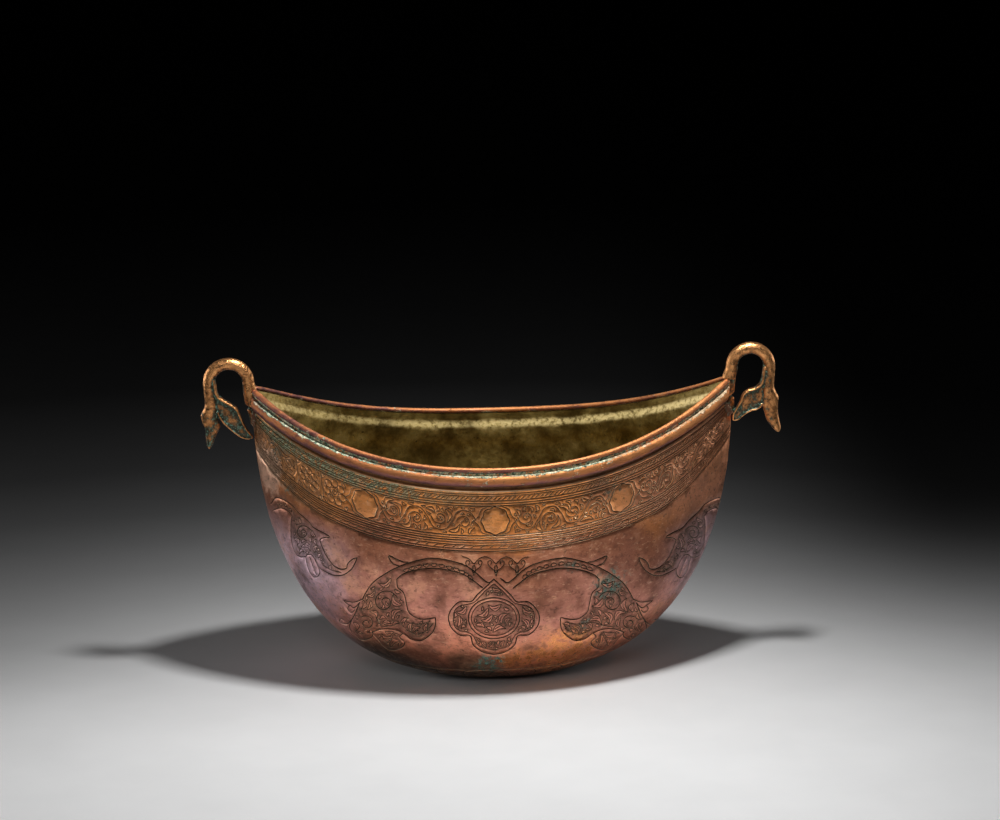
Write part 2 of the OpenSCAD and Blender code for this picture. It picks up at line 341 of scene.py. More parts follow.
    def drawn(self, look, x, y):
        """Place on the front where a point of the drawing falls for that camera."""
        lo, hi = np.full_like(x, 0.003), np.full_like(x, 0.999)
        side = np.zeros_like(x)
        scale = np.full_like(x, look.pixel)
        for _ in range(40):
            k = (lo + hi) / 2
            across = (x + DRAWN_X - look.base_x) * scale
            rise = (y + look.base_y - DRAWN_Y) * scale
            flat = across * math.cos(look.roll) - rise * math.sin(look.roll)
            rise = across * math.sin(look.roll) + rise * math.cos(look.roll)
            rx, _ = self.reach(k)
            px = (flat - side * math.sin(look.azimuth)) / math.cos(look.azimuth)
            a = np.arcsin(np.clip(px / rx, -0.9985, 0.9985))
            p = self.body(a, k)
            side = p[:, 1]
            scale = look.pixel * (1 - p @ look.back / look.distance)
            high = p @ look.up > rise
            hi = np.where(high, k, hi)
            lo = np.where(high, lo, k)
        return a, k


class Look:
    """Camera axes and frame, in millimetres."""

    def __init__(self, s):
        self.azimuth, self.roll = s.azimuth, s.roll
        self.pixel, self.distance = s.pixel * 1000, s.distance * 1000
        self.base_x, self.base_y = s.base_x, s.base_y
        ca, sa = math.cos(s.azimuth), math.sin(s.azimuth)
        ce, se = math.cos(s.elevation), math.sin(s.elevation)
        self.back = np.array([sa * ce, -ca * ce, se])
        self.right = np.array([ca, sa, 0.0])
        self.up = np.array([-sa * se, ca * se, ce])


def curve(points, closed=False, fine=14):
    """Smooth curve through a few points."""
    p = np.array(points, float)
    count = len(p)
    if count == 2 and not closed:
        return p[0] + np.linspace(0, 1, fine)[:, None] * (p[1] - p[0])
    if closed:
        q = np.concatenate([p[-1:], p, p[:2]])
        spans = count
    else:
        q = np.concatenate([2 * p[:1] - p[1:2], p, 2 * p[-1:] - p[-2:-1]])
        spans = count - 1
    t = np.linspace(0, 1, fine, endpoint=False)[:, None]
    out = []
    for i in range(spans):
        a, b, c, d = q[i], q[i + 1], q[i + 2], q[i + 3]
        out.append(0.5 * (2 * b + (c - a) * t + (2 * a - 5 * b + 4 * c - d) * t * t
                          + (3 * b - a - 3 * c + d) * t ** 3))
    out.append(q[1:2] if closed else p[-1:])
    return np.concatenate(out)


def ring(cx, cy, rx, ry=None, lobes=0, swell=0.0):
    """Closed round or lobed line."""
    t = np.linspace(0, 2 * math.pi, 73)
    r = 1 + swell * np.cos(lobes * t)
    return np.stack([cx + rx * r * np.cos(t), cy + (ry or rx) * r * np.sin(t)], -1)


def spiral(cx, cy, r0, r1, start, turns):
    """Scroll that winds in from radius r0 to r1."""
    t = np.linspace(0, 1, max(12, int(40 * abs(turns))))
    ang = start + 2 * math.pi * turns * t
    r = r0 + (r1 - r0) * t ** 0.8
    return np.stack([cx + r * np.cos(ang), cy + r * np.sin(ang)], -1)


def leaf(x, y, size, wide, ang, bend=0.25):
    """Pointed leaf from its stalk at x, y: closed outline and midrib."""
    t = np.linspace(0, 1, 15)
    mid = np.stack([t * size, bend * size * np.sin(math.pi * t) * 0.6], -1)
    half = wide * np.sin(math.pi * t ** 0.75) / 2
    out = np.concatenate([mid + np.stack([0 * half, half], -1),
                          (mid - np.stack([0 * half, half], -1))[::-1]])
    c, s = math.cos(ang), math.sin(ang)
    turn = np.array([[c, s], [-s, c]])
    place = np.array([x, y])
    return out @ turn + place, mid[2:11] @ turn + place


class Engraving:
    """Collects lines to cut and plain fields, on the front of the bowl."""

    def __init__(self, shape, look, s):
        self.shape = shape
        self.look = look
        self.main = (s.line_half * 1000, s.line_depth * 1000)
        self.fine = (s.fine_half * 1000, s.fine_depth * 1000)
        self.lines = []
        self.fields = []
        self.grounds = []
        self.rng = random.Random(7)

    def cut(self, a, k, weight, step):
        """Adds one line, its points set a step apart on the wall."""
        p = self.shape.body(a, k)
        run = np.concatenate([[0], np.cumsum(np.linalg.norm(np.diff(p, axis=0), axis=1))])
        if run[-1] < 0.3:
            return
        count = max(2, int(run[-1] / step) + 1)
        at = np.linspace(0, run[-1], count)
        self.lines.append((np.interp(at, run, a), np.interp(at, run, k), *weight))

    def on_band(self, pts, weight=None, step=0.75, field=False):
        """Line on the band, in millimetres along it and below the shoulder."""
        pts = np.asarray(pts, float)
        a, k = self.shape.band(pts[:, 0], pts[:, 1])
        self.cut(a, k, weight or self.fine, step)
        if field:
            self.fields.append(self.shape.to_plane(a, k))

    def on_front(self, pts, weight=None, step=0.7, field=False):
        """Line on the front, in frame units from the origin of the drawing."""
        pts = np.asarray(pts, float)
        a, k = self.shape.drawn(self.look, pts[:, 0], pts[:, 1])
        self.cut(a, k, weight or self.main, step)
        if field:
            self.fields.append(self.shape.to_plane(a, k))

    def ground_front(self, pts):
        """Field that is sunk and dark between the leaves."""
        pts = np.asarray(pts, float)
        self.grounds.append(self.shape.to_plane(*self.shape.drawn(self.look, pts[:, 0], pts[:, 1])))

    def fill_front(self, pts, centre, size, wide, gap, stems=()):
        """Fills a field with leaves that turn round a centre and along its stems, on a dark ground."""
        pts = np.asarray(pts, float)
        self.ground_front(pts)
        lo, hi = pts.min(0), pts.max(0)
        taken = np.zeros((0, 2))
        for stem in stems:
            taken = np.concatenate([taken, stem])
            self.on_front(stem, self.main)
        for scale, tries in ((1.5, 90), (1.05, 220), (0.75, 320), (0.5, 420)):
            for _ in range(tries):
                at = np.array([self.rng.uniform(lo[0], hi[0]), self.rng.uniform(lo[1], hi[1])])
                way = math.atan2(at[1] - centre[1], at[0] - centre[0]) + 1.9 + self.rng.uniform(-0.6, 0.6)
                bend = self.rng.uniform(0.3, 0.7)
                out, rib = leaf(at[0], at[1], size * scale, wide * scale ** 0.7, way, bend)
                if not inside_of(pts, out).all() or np.linalg.norm(out[:, None] - pts, axis=2).min() < 0.7:
                    continue
                if len(taken) and np.linalg.norm(out[:, None] - taken, axis=2).min() < gap:
                    continue
                taken = np.concatenate([taken, out, rib])
                self.on_front(out, self.fine, field=True)
                if scale > 1:
                    self.on_front(rib[1:-2], self.fine)

    def leaf_front(self, x, y, size, wide, deg, bend=0.25):
        """Leaf with its midrib, on the front."""
        out, rib = leaf(x, y, size, wide, math.radians(deg), bend)
        self.on_front(out, self.fine, field=True)
        self.on_front(rib, self.fine)


# Depths on the band, in millimetres below the shoulder
BAND_TOP = 6.2
BAND_LOW = 20.0
BAND_FOOT = 27.3
BAND_MID = (BAND_TOP + BAND_LOW) / 2
BORDERS = (0.6, 1.7, 3.9, 5.1, BAND_TOP, BAND_LOW, 21.1, 23.3, 24.4, 26.2, BAND_FOOT)
MAIN_BORDERS = (BAND_TOP, BAND_LOW, BAND_FOOT)
VERGE = 8.0
ZONE = 28.0
ROPE_STEP = 2.1
SCROLL_CELL = 10.5


def draw_borders(e):
    """Rope strip over the band and brick strip under it, between double lines."""
    end = e.shape.s_table[-1] - 1.2
    s = np.linspace(-end, end, 240)
    for depth in BORDERS:
        weight = e.main if depth in MAIN_BORDERS else e.fine
        e.on_band(np.stack([s, np.full_like(s, depth)], -1), weight, 1.5)
    for i in range(-62, 63):
        x = i * ROPE_STEP
        if abs(x) > end - 3:
            continue
        e.on_band([(x - 0.7, 3.4), (x + 0.7, 2.2)], e.fine, 0.9)
        e.on_band([(x - 0.75, 22.2), (x + 0.55, 22.2)], e.main, 0.9)
        if i % 2:
            e.on_band([(x - 0.6, 25.7), (x + 0.6, 24.9)], e.fine, 0.9)


def draw_scroll(e, s0, s1):
    """Flowing leaf scroll that fills the band from s0 to s1."""
    rng = e.rng
    cells = max(1, round((s1 - s0) / SCROLL_CELL))
    wide = (s1 - s0) / cells
    taken = np.zeros((0, 2))

    def free(pts, gap):
        if pts[:, 1].min() < BAND_TOP + 0.5 or pts[:, 1].max() > BAND_LOW - 0.5:
            return False
        if pts[:, 0].min() < s0 or pts[:, 0].max() > s1:
            return False
        near = taken[np.abs(taken[:, 0] - pts[0, 0]) < 9]
        return not len(near) or np.linalg.norm(near[:, None] - pts, axis=2).min() > gap

    for i in range(cells):
        cx = s0 + wide * (i + 0.5)
        side = 1 if i % 2 else -1
        cy = BAND_MID + side * 0.9
        for pts in (spiral(cx, cy, wide * 0.34, 0.9, math.pi, side * 1.2),
                    curve([(cx - wide / 2, BAND_MID + side * 0.4), (cx - wide * 0.26, cy - side * 4.9),
                           (cx + wide * 0.2, cy - side * 5.3), (cx + wide / 2, BAND_MID - side * 0.4)])):
            taken = np.concatenate([taken, pts])
            e.on_band(pts, e.fine, 0.8)
    for size, tries, gap in ((6.4, 10, 0.7), (4.4, 26, 0.66), (3.0, 40, 0.62), (1.9, 40, 0.6)):
        for _ in range(int((s1 - s0) * tries)):
            x, y = rng.uniform(s0, s1), rng.uniform(BAND_TOP + 0.6, BAND_LOW - 0.6)
            phase = (x - s0) / wide * math.pi
            way = 0.9 * math.sin(phase) + (0.7 if y < BAND_MID else -0.7) + rng.uniform(-0.7, 0.7)
            turn = rng.choice((-1, 1)) * rng.uniform(0.35, 0.7)
            out = leaf(x, y, size * rng.uniform(0.8, 1.2), 0.5 * size ** 0.7, way, turn)[0]
            if free(out, gap):
                taken = np.concatenate([taken, out])
                e.on_band(out, e.fine, 0.6, field=True)


def draw_rosette(e, cx, cy, r):
    """Flower of seven petals with a ringed eye."""
    e.on_band(ring(cx, cy, r * 0.16), step=0.4)
    e.on_band(ring(cx, cy, r * 0.32), step=0.5, field=True)
    for j in range(7):
        t = 2 * math.pi * j / 7 + 0.3
        petal = ring(cx + r * 0.66 * math.cos(t), cy + r * 0.66 * math.sin(t), r * 0.27)
        e.on_band(petal, step=0.5, field=True)


def draw_band(e):
    """Roundels, rosettes and scrolls of the band under the rim."""
    tendril = [(3.5, 6.4), (6.2, 5.2), (7.4, 2.2), (9.4, 0.4)]
    corners = [(side, up) for side in (-1, 1) for up in (-1, 1)]
    for cx in (-60.0, 0.0, 60.0):
        e.on_band(ring(cx, BAND_MID, 6.1, 6.3, 8, 0.045), e.main, 0.7, field=True)
        for side, up in corners:
            e.on_band(curve([(cx + side * x, BAND_MID + up * y) for x, y in tendril]))
    draw_scroll(e, -52.0, -8.5)
    draw_scroll(e, 8.5, 52.0)
    draw_scroll(e, 68.5, 124.0)
    for cx, r in ((-75.5, 6.4), (-89.5, 6.0)):
        draw_rosette(e, cx, BAND_MID - 0.2, r)
        for side, up in corners:
            way = (math.pi / 2 - side * 0.8) * -up
            e.on_band(leaf(cx + side * 4.4, BAND_MID + up * 6.3, 3.0, 1.5, way, 0.2)[0], step=0.6, field=True)
        e.on_band(curve([(cx - 7, BAND_LOW - 0.8), (cx - 6.2, BAND_MID + 2.5), (cx - 6.6, BAND_MID - 1),
                         (cx - 7, BAND_TOP + 1)]))
    draw_scroll(e, -124.0, -97.0)


def turned(pts, m):
    """Points of the left side, or mirrored to the right side where m is -1."""
    return [(x * m, y) for x, y in pts]


def draw_arch(e, m):
    """Large arch with a beaked leaf head; m is 1 on the left and -1 on the right."""

    def line(pts, weight=None):
        e.on_front(turned(curve(pts), m), weight)

    line([(-4, 97), (-11, 94), (-28, 108), (-46, 115), (-66, 118), (-83, 115), (-98, 110), (-113, 102),
          (-125, 93), (-132, 83), (-135, 77)])
    line([(-16, 89), (-33, 101), (-50, 106), (-66, 108), (-83, 106), (-95, 102), (-101, 97)])
    line([(-135, 77), (-143, 74), (-154, 75.5)])
    line([(-154, 75.5), (-147, 70), (-143, 68.5), (-138, 73.5)])
    line([(-148, 71), (-150, 67), (-146, 63.5), (-143, 66)], e.fine)
    line([(-138, 73.5), (-141, 66), (-145, 58), (-151, 52), (-158, 54), (-157, 57), (-154, 56)])
    line([(-145, 58), (-148, 49), (-143, 40), (-135, 36), (-126, 39), (-125, 44)])
    line([(-101, 97), (-100, 89), (-94, 83), (-91, 71), (-89, 64), (-81, 58), (-73, 57), (-62.5, 58.5)])
    line([(-62.5, 58.5), (-62.5, 51), (-66, 43), (-76, 36), (-86, 37), (-95, 43), (-105, 47), (-116, 47),
          (-126, 44)])
    line([(-68, 54), (-81, 52), (-93, 54), (-105, 51), (-116, 49)], e.fine)
    line([(-65, 52.5), (-71, 46), (-81, 42), (-91, 46)], e.fine)
    line([(-126, 44), (-119, 36), (-113, 29), (-105, 26), (-96, 29), (-93, 34), (-98, 39), (-95, 43)])
    line([(-98, 110), (-105, 113), (-109, 120), (-103, 118), (-95, 114.5), (-90, 114)])
    head = [(-125, 92), (-131, 83), (-137, 73), (-143, 60), (-146, 49), (-142, 41), (-135, 37.5), (-127, 42),
            (-116, 48), (-105, 49), (-95, 46), (-86, 40), (-77, 38), (-68, 44), (-64, 51), (-65, 57),
            (-74, 55.5), (-82, 56.5), (-91, 63), (-93, 71), (-96, 83), (-102, 90), (-103, 97), (-113, 100)]
    stems = [spiral(-113, 74, 13, 2.5, 0.4, 1.5) * [m, 1], spiral(-131, 53, 8, 2, 2.2, -1.3) * [m, 1]]
    e.fill_front(turned(head, m), (-112 * m, 70), 9.5, 3.8, 0.85, stems)
    lobe = [(-124, 43), (-118, 36), (-112, 30.5), (-105, 28), (-97, 30.5), (-95, 34), (-100, 39), (-98, 43),
            (-106, 46), (-115, 46)]
    e.fill_front(turned(lobe, m), (-108 * m, 38), 8.0, 3.6, 0.75)
    upper = curve([(-20, 89.5), (-30, 104), (-46, 111), (-66, 114.5), (-83, 112), (-98, 106.5), (-108, 101)])
    lower = curve([(-102, 99), (-95, 103.5), (-83, 107.8), (-66, 110), (-50, 107.8), (-33, 103)])
    e.ground_front(turned(np.concatenate([upper, lower]), m))
    mid = curve([(-24, 96), (-33, 103.5), (-48, 109), (-66, 112), (-83, 109.5), (-96, 105)])
    for i in range(2, len(mid) - 6, 6):
        (x, y), (x1, y1) = mid[i], mid[i + 3]
        out = leaf(x * m, y, 6.4, 3.4, math.atan2(y1 - y, (x1 - x) * m), 0.25)[0]
        e.on_front(out, e.fine, field=True)


def draw_end_arch(e, m):
    """Smaller arch towards the end of the bowl; m is 1 on the left and -1 on the right."""

    def line(pts, weight=None, closed=False):
        e.on_front(turned(curve(pts, closed), m), weight, field=closed)

    line([(-227, 172), (-222, 178), (-214, 176), (-206, 171), (-200, 164), (-191, 156), (-185, 149),
          (-180, 146)])
    line([(-224, 166), (-217, 168), (-210, 165), (-206, 160)])
    line([(-180, 146), (-174, 143), (-168, 139), (-175, 138), (-178, 136)])
    line([(-178, 136), (-175, 128), (-170, 118), (-163, 110), (-156, 107), (-151, 108), (-150, 112),
          (-145, 117), (-140.5, 118.5)])
    line([(-140.5, 118.5), (-143, 112), (-147, 106), (-155, 101), (-164, 101), (-173, 105), (-178, 108)])
    line([(-157, 104), (-166, 106), (-175, 111)], e.fine)
    line([(-192, 119), (-186, 121), (-181, 113), (-178, 103.5), (-182, 98.5), (-188, 104)], closed=True)
    line([(-187, 116), (-184, 108), (-182, 103)], e.fine)
    line([(-206, 160), (-207, 149), (-206, 134), (-203, 124), (-198, 119), (-192, 119)])
    head = [(-205, 159), (-200, 161), (-192, 154), (-186, 147), (-180, 143), (-180, 136), (-177, 128),
            (-172, 118), (-165, 111), (-157, 105), (-163, 102.5), (-172, 106.5), (-177, 111), (-181, 119),
            (-187, 123), (-193, 121), (-198, 121), (-202, 125), (-204, 134), (-205, 149)]
    stems = [spiral(-195, 143, 8, 2, 0.4, 1.4) * [m, 1]]
    e.fill_front(turned(head, m), (-193 * m, 140), 7.5, 3.2, 0.9, stems)
    upper = curve([(-224, 171), (-218, 174.5), (-212, 173), (-206, 167.5), (-203, 163)])
    lower = curve([(-207, 162.5), (-211, 167), (-217, 170), (-222, 168)])
    e.ground_front(turned(np.concatenate([upper, lower]), m))
    for x, y in ((-219, 171.5), (-214, 170.5), (-209, 166.5)):
        e.leaf_front(x * m, y, 4.5, 2.2, 330 if m > 0 else 210, 0.2)


def draw_quatrefoil(e):
    """Four-lobed medallion in the middle, with pendants under the band."""
    cx, cy = -4, 59

    def placed(pts, sx=1):
        return [(cx + sx * x, cy + y) for x, y in pts]

    for grow, weight in ((0, e.main), (-4.5, e.fine)):
        foil = [(0, 38 + grow), (9, 29.5 + grow * 0.8), (17, 22 + grow), (23 + grow * 0.4, 15.5 + grow * 0.3),
                (35, 15 + grow), (44.5 + grow, 4), (44 + grow, -8), (35, -17.5 - grow),
                (24 + grow * 0.4, -18.5 - grow * 0.3), (20.5 + grow, -28), (11, -35 - grow),
                (0, -37.5 - grow)]
        for sx in (-1, 1):
            e.on_front(curve(placed(foil, sx)), weight)
    e.on_front(ring(cx, cy - 1, 25.5, 20.5), e.main)
    e.on_front(ring(cx, cy - 1, 22.5, 17.5), e.fine)
    e.fill_front(ring(cx, cy - 1, 21, 16.2), (cx, cy - 1), 9.0, 3.8, 0.9)
    lobe = [(22, 13), (34, 12.5), (41, 4), (41, -7), (34, -14.5), (23, -15.5), (26.5, -8), (27.5, 0),
            (26.5, 7)]
    for sx in (-1, 1):
        e.fill_front(placed(lobe, sx), (cx + sx * 33, cy - 1), 8.0, 3.6, 0.9)
    top = [(0, 33), (8, 26), (16, 18.5), (19, 14), (10, 20), (0, 22), (-10, 20), (-19, 14), (-16, 18.5),
           (-8, 26)]
    e.fill_front(placed(top), (cx, cy + 24), 6.5, 3.2, 0.8)
    low = [(-20, -17), (-10, -22), (0, -23.5), (10, -22), (20, -17), (18, -26), (10, -32), (0, -34),
           (-10, -32), (-18, -26)]
    e.fill_front(placed(low), (cx, cy - 28), 7.5, 3.4, 0.8)
    curl = [(0, 100), (2.2, 106), (6.0, 109), (8.2, 113), (6.6, 116), (4.2, 114.5), (5.0, 112)]
    brace = [(0, 112), (5.5, 117.5), (10.7, 119.5)]
    for x in (-24, -2, 19):
        for sx in (-1, 1):
            for pendant in (curl, brace):
                e.on_front(curve([(x + sx * out, y) for out, y in pendant]), e.fine)
        e.leaf_front(x, 111, 8, 3.4, 270, 0.0)


def draw_foot(e):
    """Ring of petals round the base."""
    shape = e.shape
    a = np.linspace(-math.pi / 2 + 0.012, math.pi / 2 - 0.012, 160)
    for v in (5.0, 16.5):
        e.cut(a, np.full_like(a, np.interp(v, shape.v_table, shape.k_table)), e.fine, 1.2)
    petals = 13
    for i in range(petals):
        mid = -math.pi / 2 + math.pi * (i + 0.5) / petals
        half = math.pi / petals / 2 * 0.94
        for grow, weight in ((1.0, e.main), (0.55, e.fine)):
            t = np.linspace(-1, 1, 17)
            v = 5.8 + 9.6 * grow * (1 - np.abs(t) ** 2.2)
            e.cut(mid + t * half * grow, np.interp(v, shape.v_table, shape.k_table), weight, 0.8)


def draw_ornament(shape, look, s):
    """All the lines and plain fields of one side."""
    e = Engraving(shape, look, s)
    draw_borders(e)
    draw_band(e)
    for m in (1, -1):
        draw_arch(e, m)
        draw_end_arch(e, m)
    draw_quatrefoil(e)
    draw_foot(e)
    return e


def offsets(shape, a, k, half):
    """Both edges of a line of that half width, as angle and way up."""
    p = shape.body(a, k)
    along = np.gradient(p, axis=0)
    n = shape.normal(a, k)
    across = np.cross(n, along)
    across *= half / np.maximum(np.linalg.norm(across, axis=1, keepdims=True), 1e-9)
    da, dk = shape.slopes(a, k)
    g11, g12, g22 = (da * da).sum(1), (da * dk).sum(1), (dk * dk).sum(1)
    b1, b2 = (da * across).sum(1), (dk * across).sum(1)
    det = g11 * g22 - g12 * g12
    va, vk = (b1 * g22 - b2 * g12) / det, (b2 * g11 - b1 * g12) / det
    return (a + va, k + vk), (a - va, k - vk)


def inside_of(poly, q):
    """Which points of q lie inside a closed outline."""
    lo, hi = poly.min(0), poly.max(0)
    hit = np.zeros(len(q), bool)
    idx = np.nonzero(((q > lo) & (q < hi)).all(1))[0]
    if not len(idx):
        return hit
    x, y = q[idx, 0], q[idx, 1]
    odd = np.zeros(len(idx), bool)
    for (x0, y0), (x1, y1) in zip(poly, np.roll(poly, -1, 0)):
        if y0 == y1:
            continue
        odd ^= ((y0 > y) != (y1 > y)) & (x < x0 + (y - y0) * (x1 - x0) / (y1 - y0))
    hit[idx] = odd
    return hit


AROUND = 128
SEAM = 64
SEAM_CLEAR = 0.004
LINE_SPAN = (0.02, 0.994)
EDGE_SPAN = (0.015, 0.997)
GRID_ALONG = 2.4
GRID_UP = 2.2
GRID_CLEAR = 0.9
SUNK = 0.05


def held(a, k, span):
    """Line kept clear of both ends of the bowl and within a span of the way up."""
    end = math.pi / 2 - SEAM_CLEAR
    return np.clip(a, -end, end), np.clip(k, *span)


def search_tree(points):
    """Tree that finds near points."""
    tree = kdtree.KDTree(len(points))
    for i, p in enumerate(points):
        tree.insert(p, i)
    tree.balance()
    return tree


def engraved_mesh(shape, e):
    """Flat points and triangles of the front, with edges along both sides and the middle of every line."""
    edge_a = np.linspace(-math.pi / 2, math.pi / 2, AROUND + 1)
    seam_v = np.linspace(0, shape.v_top, SEAM + 1)
    q, links = [], []

    def add_line(pts):
        first = len(q)
        q.extend(map(tuple, pts))
        links.extend((first + i, first + i + 1) for i in range(len(pts) - 1))

    for k in (0.0, 1.0):
        add_line(shape.to_plane(edge_a, np.full_like(edge_a, k)))
    for a in (-math.pi / 2, math.pi / 2):
        add_line(np.stack([np.full(SEAM + 1, np.interp(a, shape.a_table, shape.s_table)), seam_v], -1))
    for a, k, half, _ in e.lines:
        a, k = held(a, k, LINE_SPAN)
        for line_a, line_k in ((a, k), *offsets(shape, a, k, half)):
            add_line(shape.to_plane(*held(line_a, line_k, EDGE_SPAN)))
    taken = search_tree([(x, y, 0) for x, y in q])
    rows = int(shape.v_top / GRID_UP)
    wide = 2 * shape.s_table[-1]
    cols = int(wide / GRID_ALONG)
    for j in range(1, rows):
        for i in range(1, cols):
            x = wide * ((i + 0.5 * (j % 2)) / cols - 0.5)
            y = j * shape.v_top / rows
            if taken.find((x, y, 0))[2] > GRID_CLEAR:
                q.append((x, y))
    made = delaunay_2d_cdt([Vector(p) for p in q], links, [], 0, 1e-4)
    return np.array([v[:] for v in made[0]]), [f for f in made[2] if len(f) == 3]


def groove_depth(shape, e, base):
    """How deep each point lies in a cut: in millimetres, and as a share of that cut."""
    centre, size = [], []
    for a, k, half, deep in e.lines:
        p = shape.body(*held(a, k, LINE_SPAN))
        fine = np.concatenate([p[:-1] + (p[1:] - p[:-1]) * t for t in (0, 0.25, 0.5, 0.75)] + [p[-1:]])
        centre.append(fine)
        size.append(np.tile([half, deep], (len(fine), 1)))
    tree = search_tree(np.concatenate(centre))
    size = np.concatenate(size)
    depth, cut = np.zeros(len(base)), np.zeros(len(base))
    reach = size[:, 0].max()
    for i, p in enumerate(base):
        for _, j, dist in tree.find_range(p, reach):
            near = 1 - dist / size[j, 0]
            if near > 0:
                depth[i] = max(depth[i], size[j, 1] * near)
                cut[i] = max(cut[i], near)
    return depth, cut


def band_masks(shape, e, flat, a, k):
    """Sunk grounds, below zero on the leaves of the band, and the verge of the band under the rim."""
    edge_s = shape.s_table * 0.999
    top_k, low_k, verge_k, zone_k = (np.interp(a, *shape.band(edge_s, np.full_like(edge_s, depth)))
                                     for depth in (BAND_TOP, BAND_LOW, VERGE, ZONE))
    in_band = (k < top_k) & (k > low_k)
    ground = 0.15 * in_band
    for f in e.grounds:
        ground[inside_of(f, flat)] = 1.0
    for f in e.fields:
        inside = inside_of(f, flat)
        ground[inside] = np.where(in_band[inside], -0.3, 0.0)
    verge = np.clip((k - verge_k) / np.maximum(1 - verge_k, 1e-6) * 1.5, 0, 1)
    return ground, np.where(k > zone_k, 0.05 + 0.95 * verge, 0.0)


def engraved_side(shape, e):
    """One engraved half of the outside, for the front: points, triangles and what the material needs."""
    flat, tris = engraved_mesh(shape, e)
    a, k = shape.from_plane(flat)
    base = shape.body(a, k)
    depth, cut = groove_depth(shape, e, base)
    ground, verge = band_masks(shape, e, flat, a, k)
    depth = np.maximum(depth, SUNK * (ground > 0))
    points = base + shape.normal(a, k) * (beaten(shape, base, k) - depth)[:, None]
    return points, tris, {"cut": cut, "ground": ground, "verge": verge}


def beaten(shape, p, k):
    """Slow unevenness of the hammered sheet, none at the rim and the base."""
    fade = ease(k / 0.12) * ease((1 - k) / 0.1)
    rough = np.array([noise.noise(Vector(v) * 0.035) + 0.45 * noise.noise(Vector(v) * 0.1) for v in p])
    return shape.dent * fade * rough


def grid_faces(rows, cols):
    """Quads between rings that close on themselves."""
    return [(r * cols + i, r * cols + (i + 1) % cols, (r + 1) * cols + (i + 1) % cols, (r + 1) * cols + i)
            for r in range(rows - 1) for i in range(cols)]


def new_object(name, points, faces, node):
    """Mesh object in metres that stands for a CAD node."""
    mesh = bpy.data.meshes.new(name)
    mesh.from_pydata([tuple(v) for v in np.asarray(points) * MM], [], faces)
    mesh.update()
    obj = bpy.data.objects.new(name, mesh)
    bpy.context.scene.collection.objects.link(obj)
    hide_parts(node)
    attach(obj, "root")
    return obj


def paint(obj, name, values):
    """Stores one number per point for the material."""
    layer = obj.data.attributes.new(name, "FLOAT", "POINT")
    layer.data.foreach_set("value", np.asarray(values, np.float32))


def smooth(obj):
    """Smooth shading through the operator."""
    bpy.ops.object.select_all(action="DESELECT")
    bpy.context.view_layer.objects.active = obj
    obj.select_set(True)
    bpy.ops.object.shade_smooth()


CRISP_CUT = 0.55


def crisp(obj, cut):
    """Shades the walls of the cuts flat, so that each line keeps a lit side and a dark side."""
    mesh = obj.data
    corners = np.empty(len(mesh.loops), int)
    mesh.loops.foreach_get("vertex_index", corners)
    wall = cut[corners].reshape(-1, 3).max(1) > CRISP_CUT
    mesh.polygons.foreach_set("use_smooth", ~wall)
    mesh.update()


def rim_span(shape, tongue_half):
    """First and last angle of a rim strip on the front, clear of the two tongues."""
    ends = [math.acos(((tongue_half + shape.gap) / shape.half_w) ** (1 / p)) for p in shape.points]
    return -ends[0], ends[1]


def strip(shape, span, section, back, count=260):
    """Rim strip swept along the front or the back: points, faces and the place in the section."""
    a = np.linspace(span[0], span[1], count)
    along = np.interp(a, shape.a_table, shape.s_table)
    left = np.minimum(along - along[0], along[-1] - along)
    rows = [section(np.full(1, at), end) for at, end in zip(a, left)]
    cols = len(rows[0])
    points = np.concatenate(rows)
    faces = grid_faces(count, cols)
    faces += [tuple(reversed(range(cols))), tuple(range((count - 1) * cols, count * cols))]
    if back:
        points = points * [1, -1, 1]
        faces = [tuple(reversed(f)) for f in faces]
    return points, faces, np.tile(np.arange(cols) / cols, count)


def uneven(p, size, height):
    """Small hand-worked unevenness at points p."""
    return height * noise.noise(Vector(p) / size)


ROUND_STEPS = 18
SEAT_STEPS = 7


def moulding_section(shape, a, left):
    """Half-round section of the moulding, filed by hand."""
    q = np.radians(np.linspace(0, 180, ROUND_STEPS + 1))
    s = shape.mould_low + shape.mould_h * (1 + np.cos(q)) / 2
    seat = shape.rim_n(s) + shape.gap
    at = shape.rim_point(a, 0.0, 0.0)[0]
    swell = shape.mould_out * (1 + uneven(at, 9.0, 0.09) + uneven(at + 50, 3.0, 0.03))
    swell *= 0.3 + 0.7 * float(ease(left / 5.0))
    out = [shape.rim_point(a, t, n + swell * math.sin(w) ** 0.8)[0] for t, n, w in zip(s, seat, q)]
    s = np.linspace(shape.mould_low, shape.mould_top, SEAT_STEPS + 1)[1:-1]
    out += [shape.rim_point(a, t, n)[0] for t, n in zip(s, shape.rim_n(s) + shape.gap)]
    return np.array(out)


def lip_section(shape, a, left):
    """Round wire with a flat seat on the edge of the wall."""
    at = shape.rim_point(a, 0.0, 0.0)[0]
    r = shape.lip_r * (1 + uneven(at + 20, 11.0, 0.06) + uneven(at - 30, 2.6, 0.03))
    r *= 0.8 + 0.2 * float(ease(left / 3.0))
    mid = shape.rim_n(shape.rim_wall) - shape.wall / 2
    seat = shape.rim_wall + shape.gap
    out = []
    for w in np.radians(np.arange(0, 360, 18)):
        rise = max(0.0, shape.lip_seat + r * math.sin(w))
        out.append(shape.rim_point(a, seat + rise, mid - r * math.cos(w))[0])
    return np.array(out)


def round_angles():
    """Angles of the points of a closed ring, from the left end."""
    return -math.pi / 2 + 2 * math.pi * np.arange(2 * AROUND) / (2 * AROUND)


def wall_rings(shape, rows):
    """Closed rings round the bowl from (kind, way, out) rows."""
    a = round_angles()
    out = []
    for kind, way, n in rows:
        out.append(shape.body(a, np.full_like(a, way), n) if kind == "body" else shape.rim_point(a, way, n))
    return out


LINING_RIDGE = 0.8


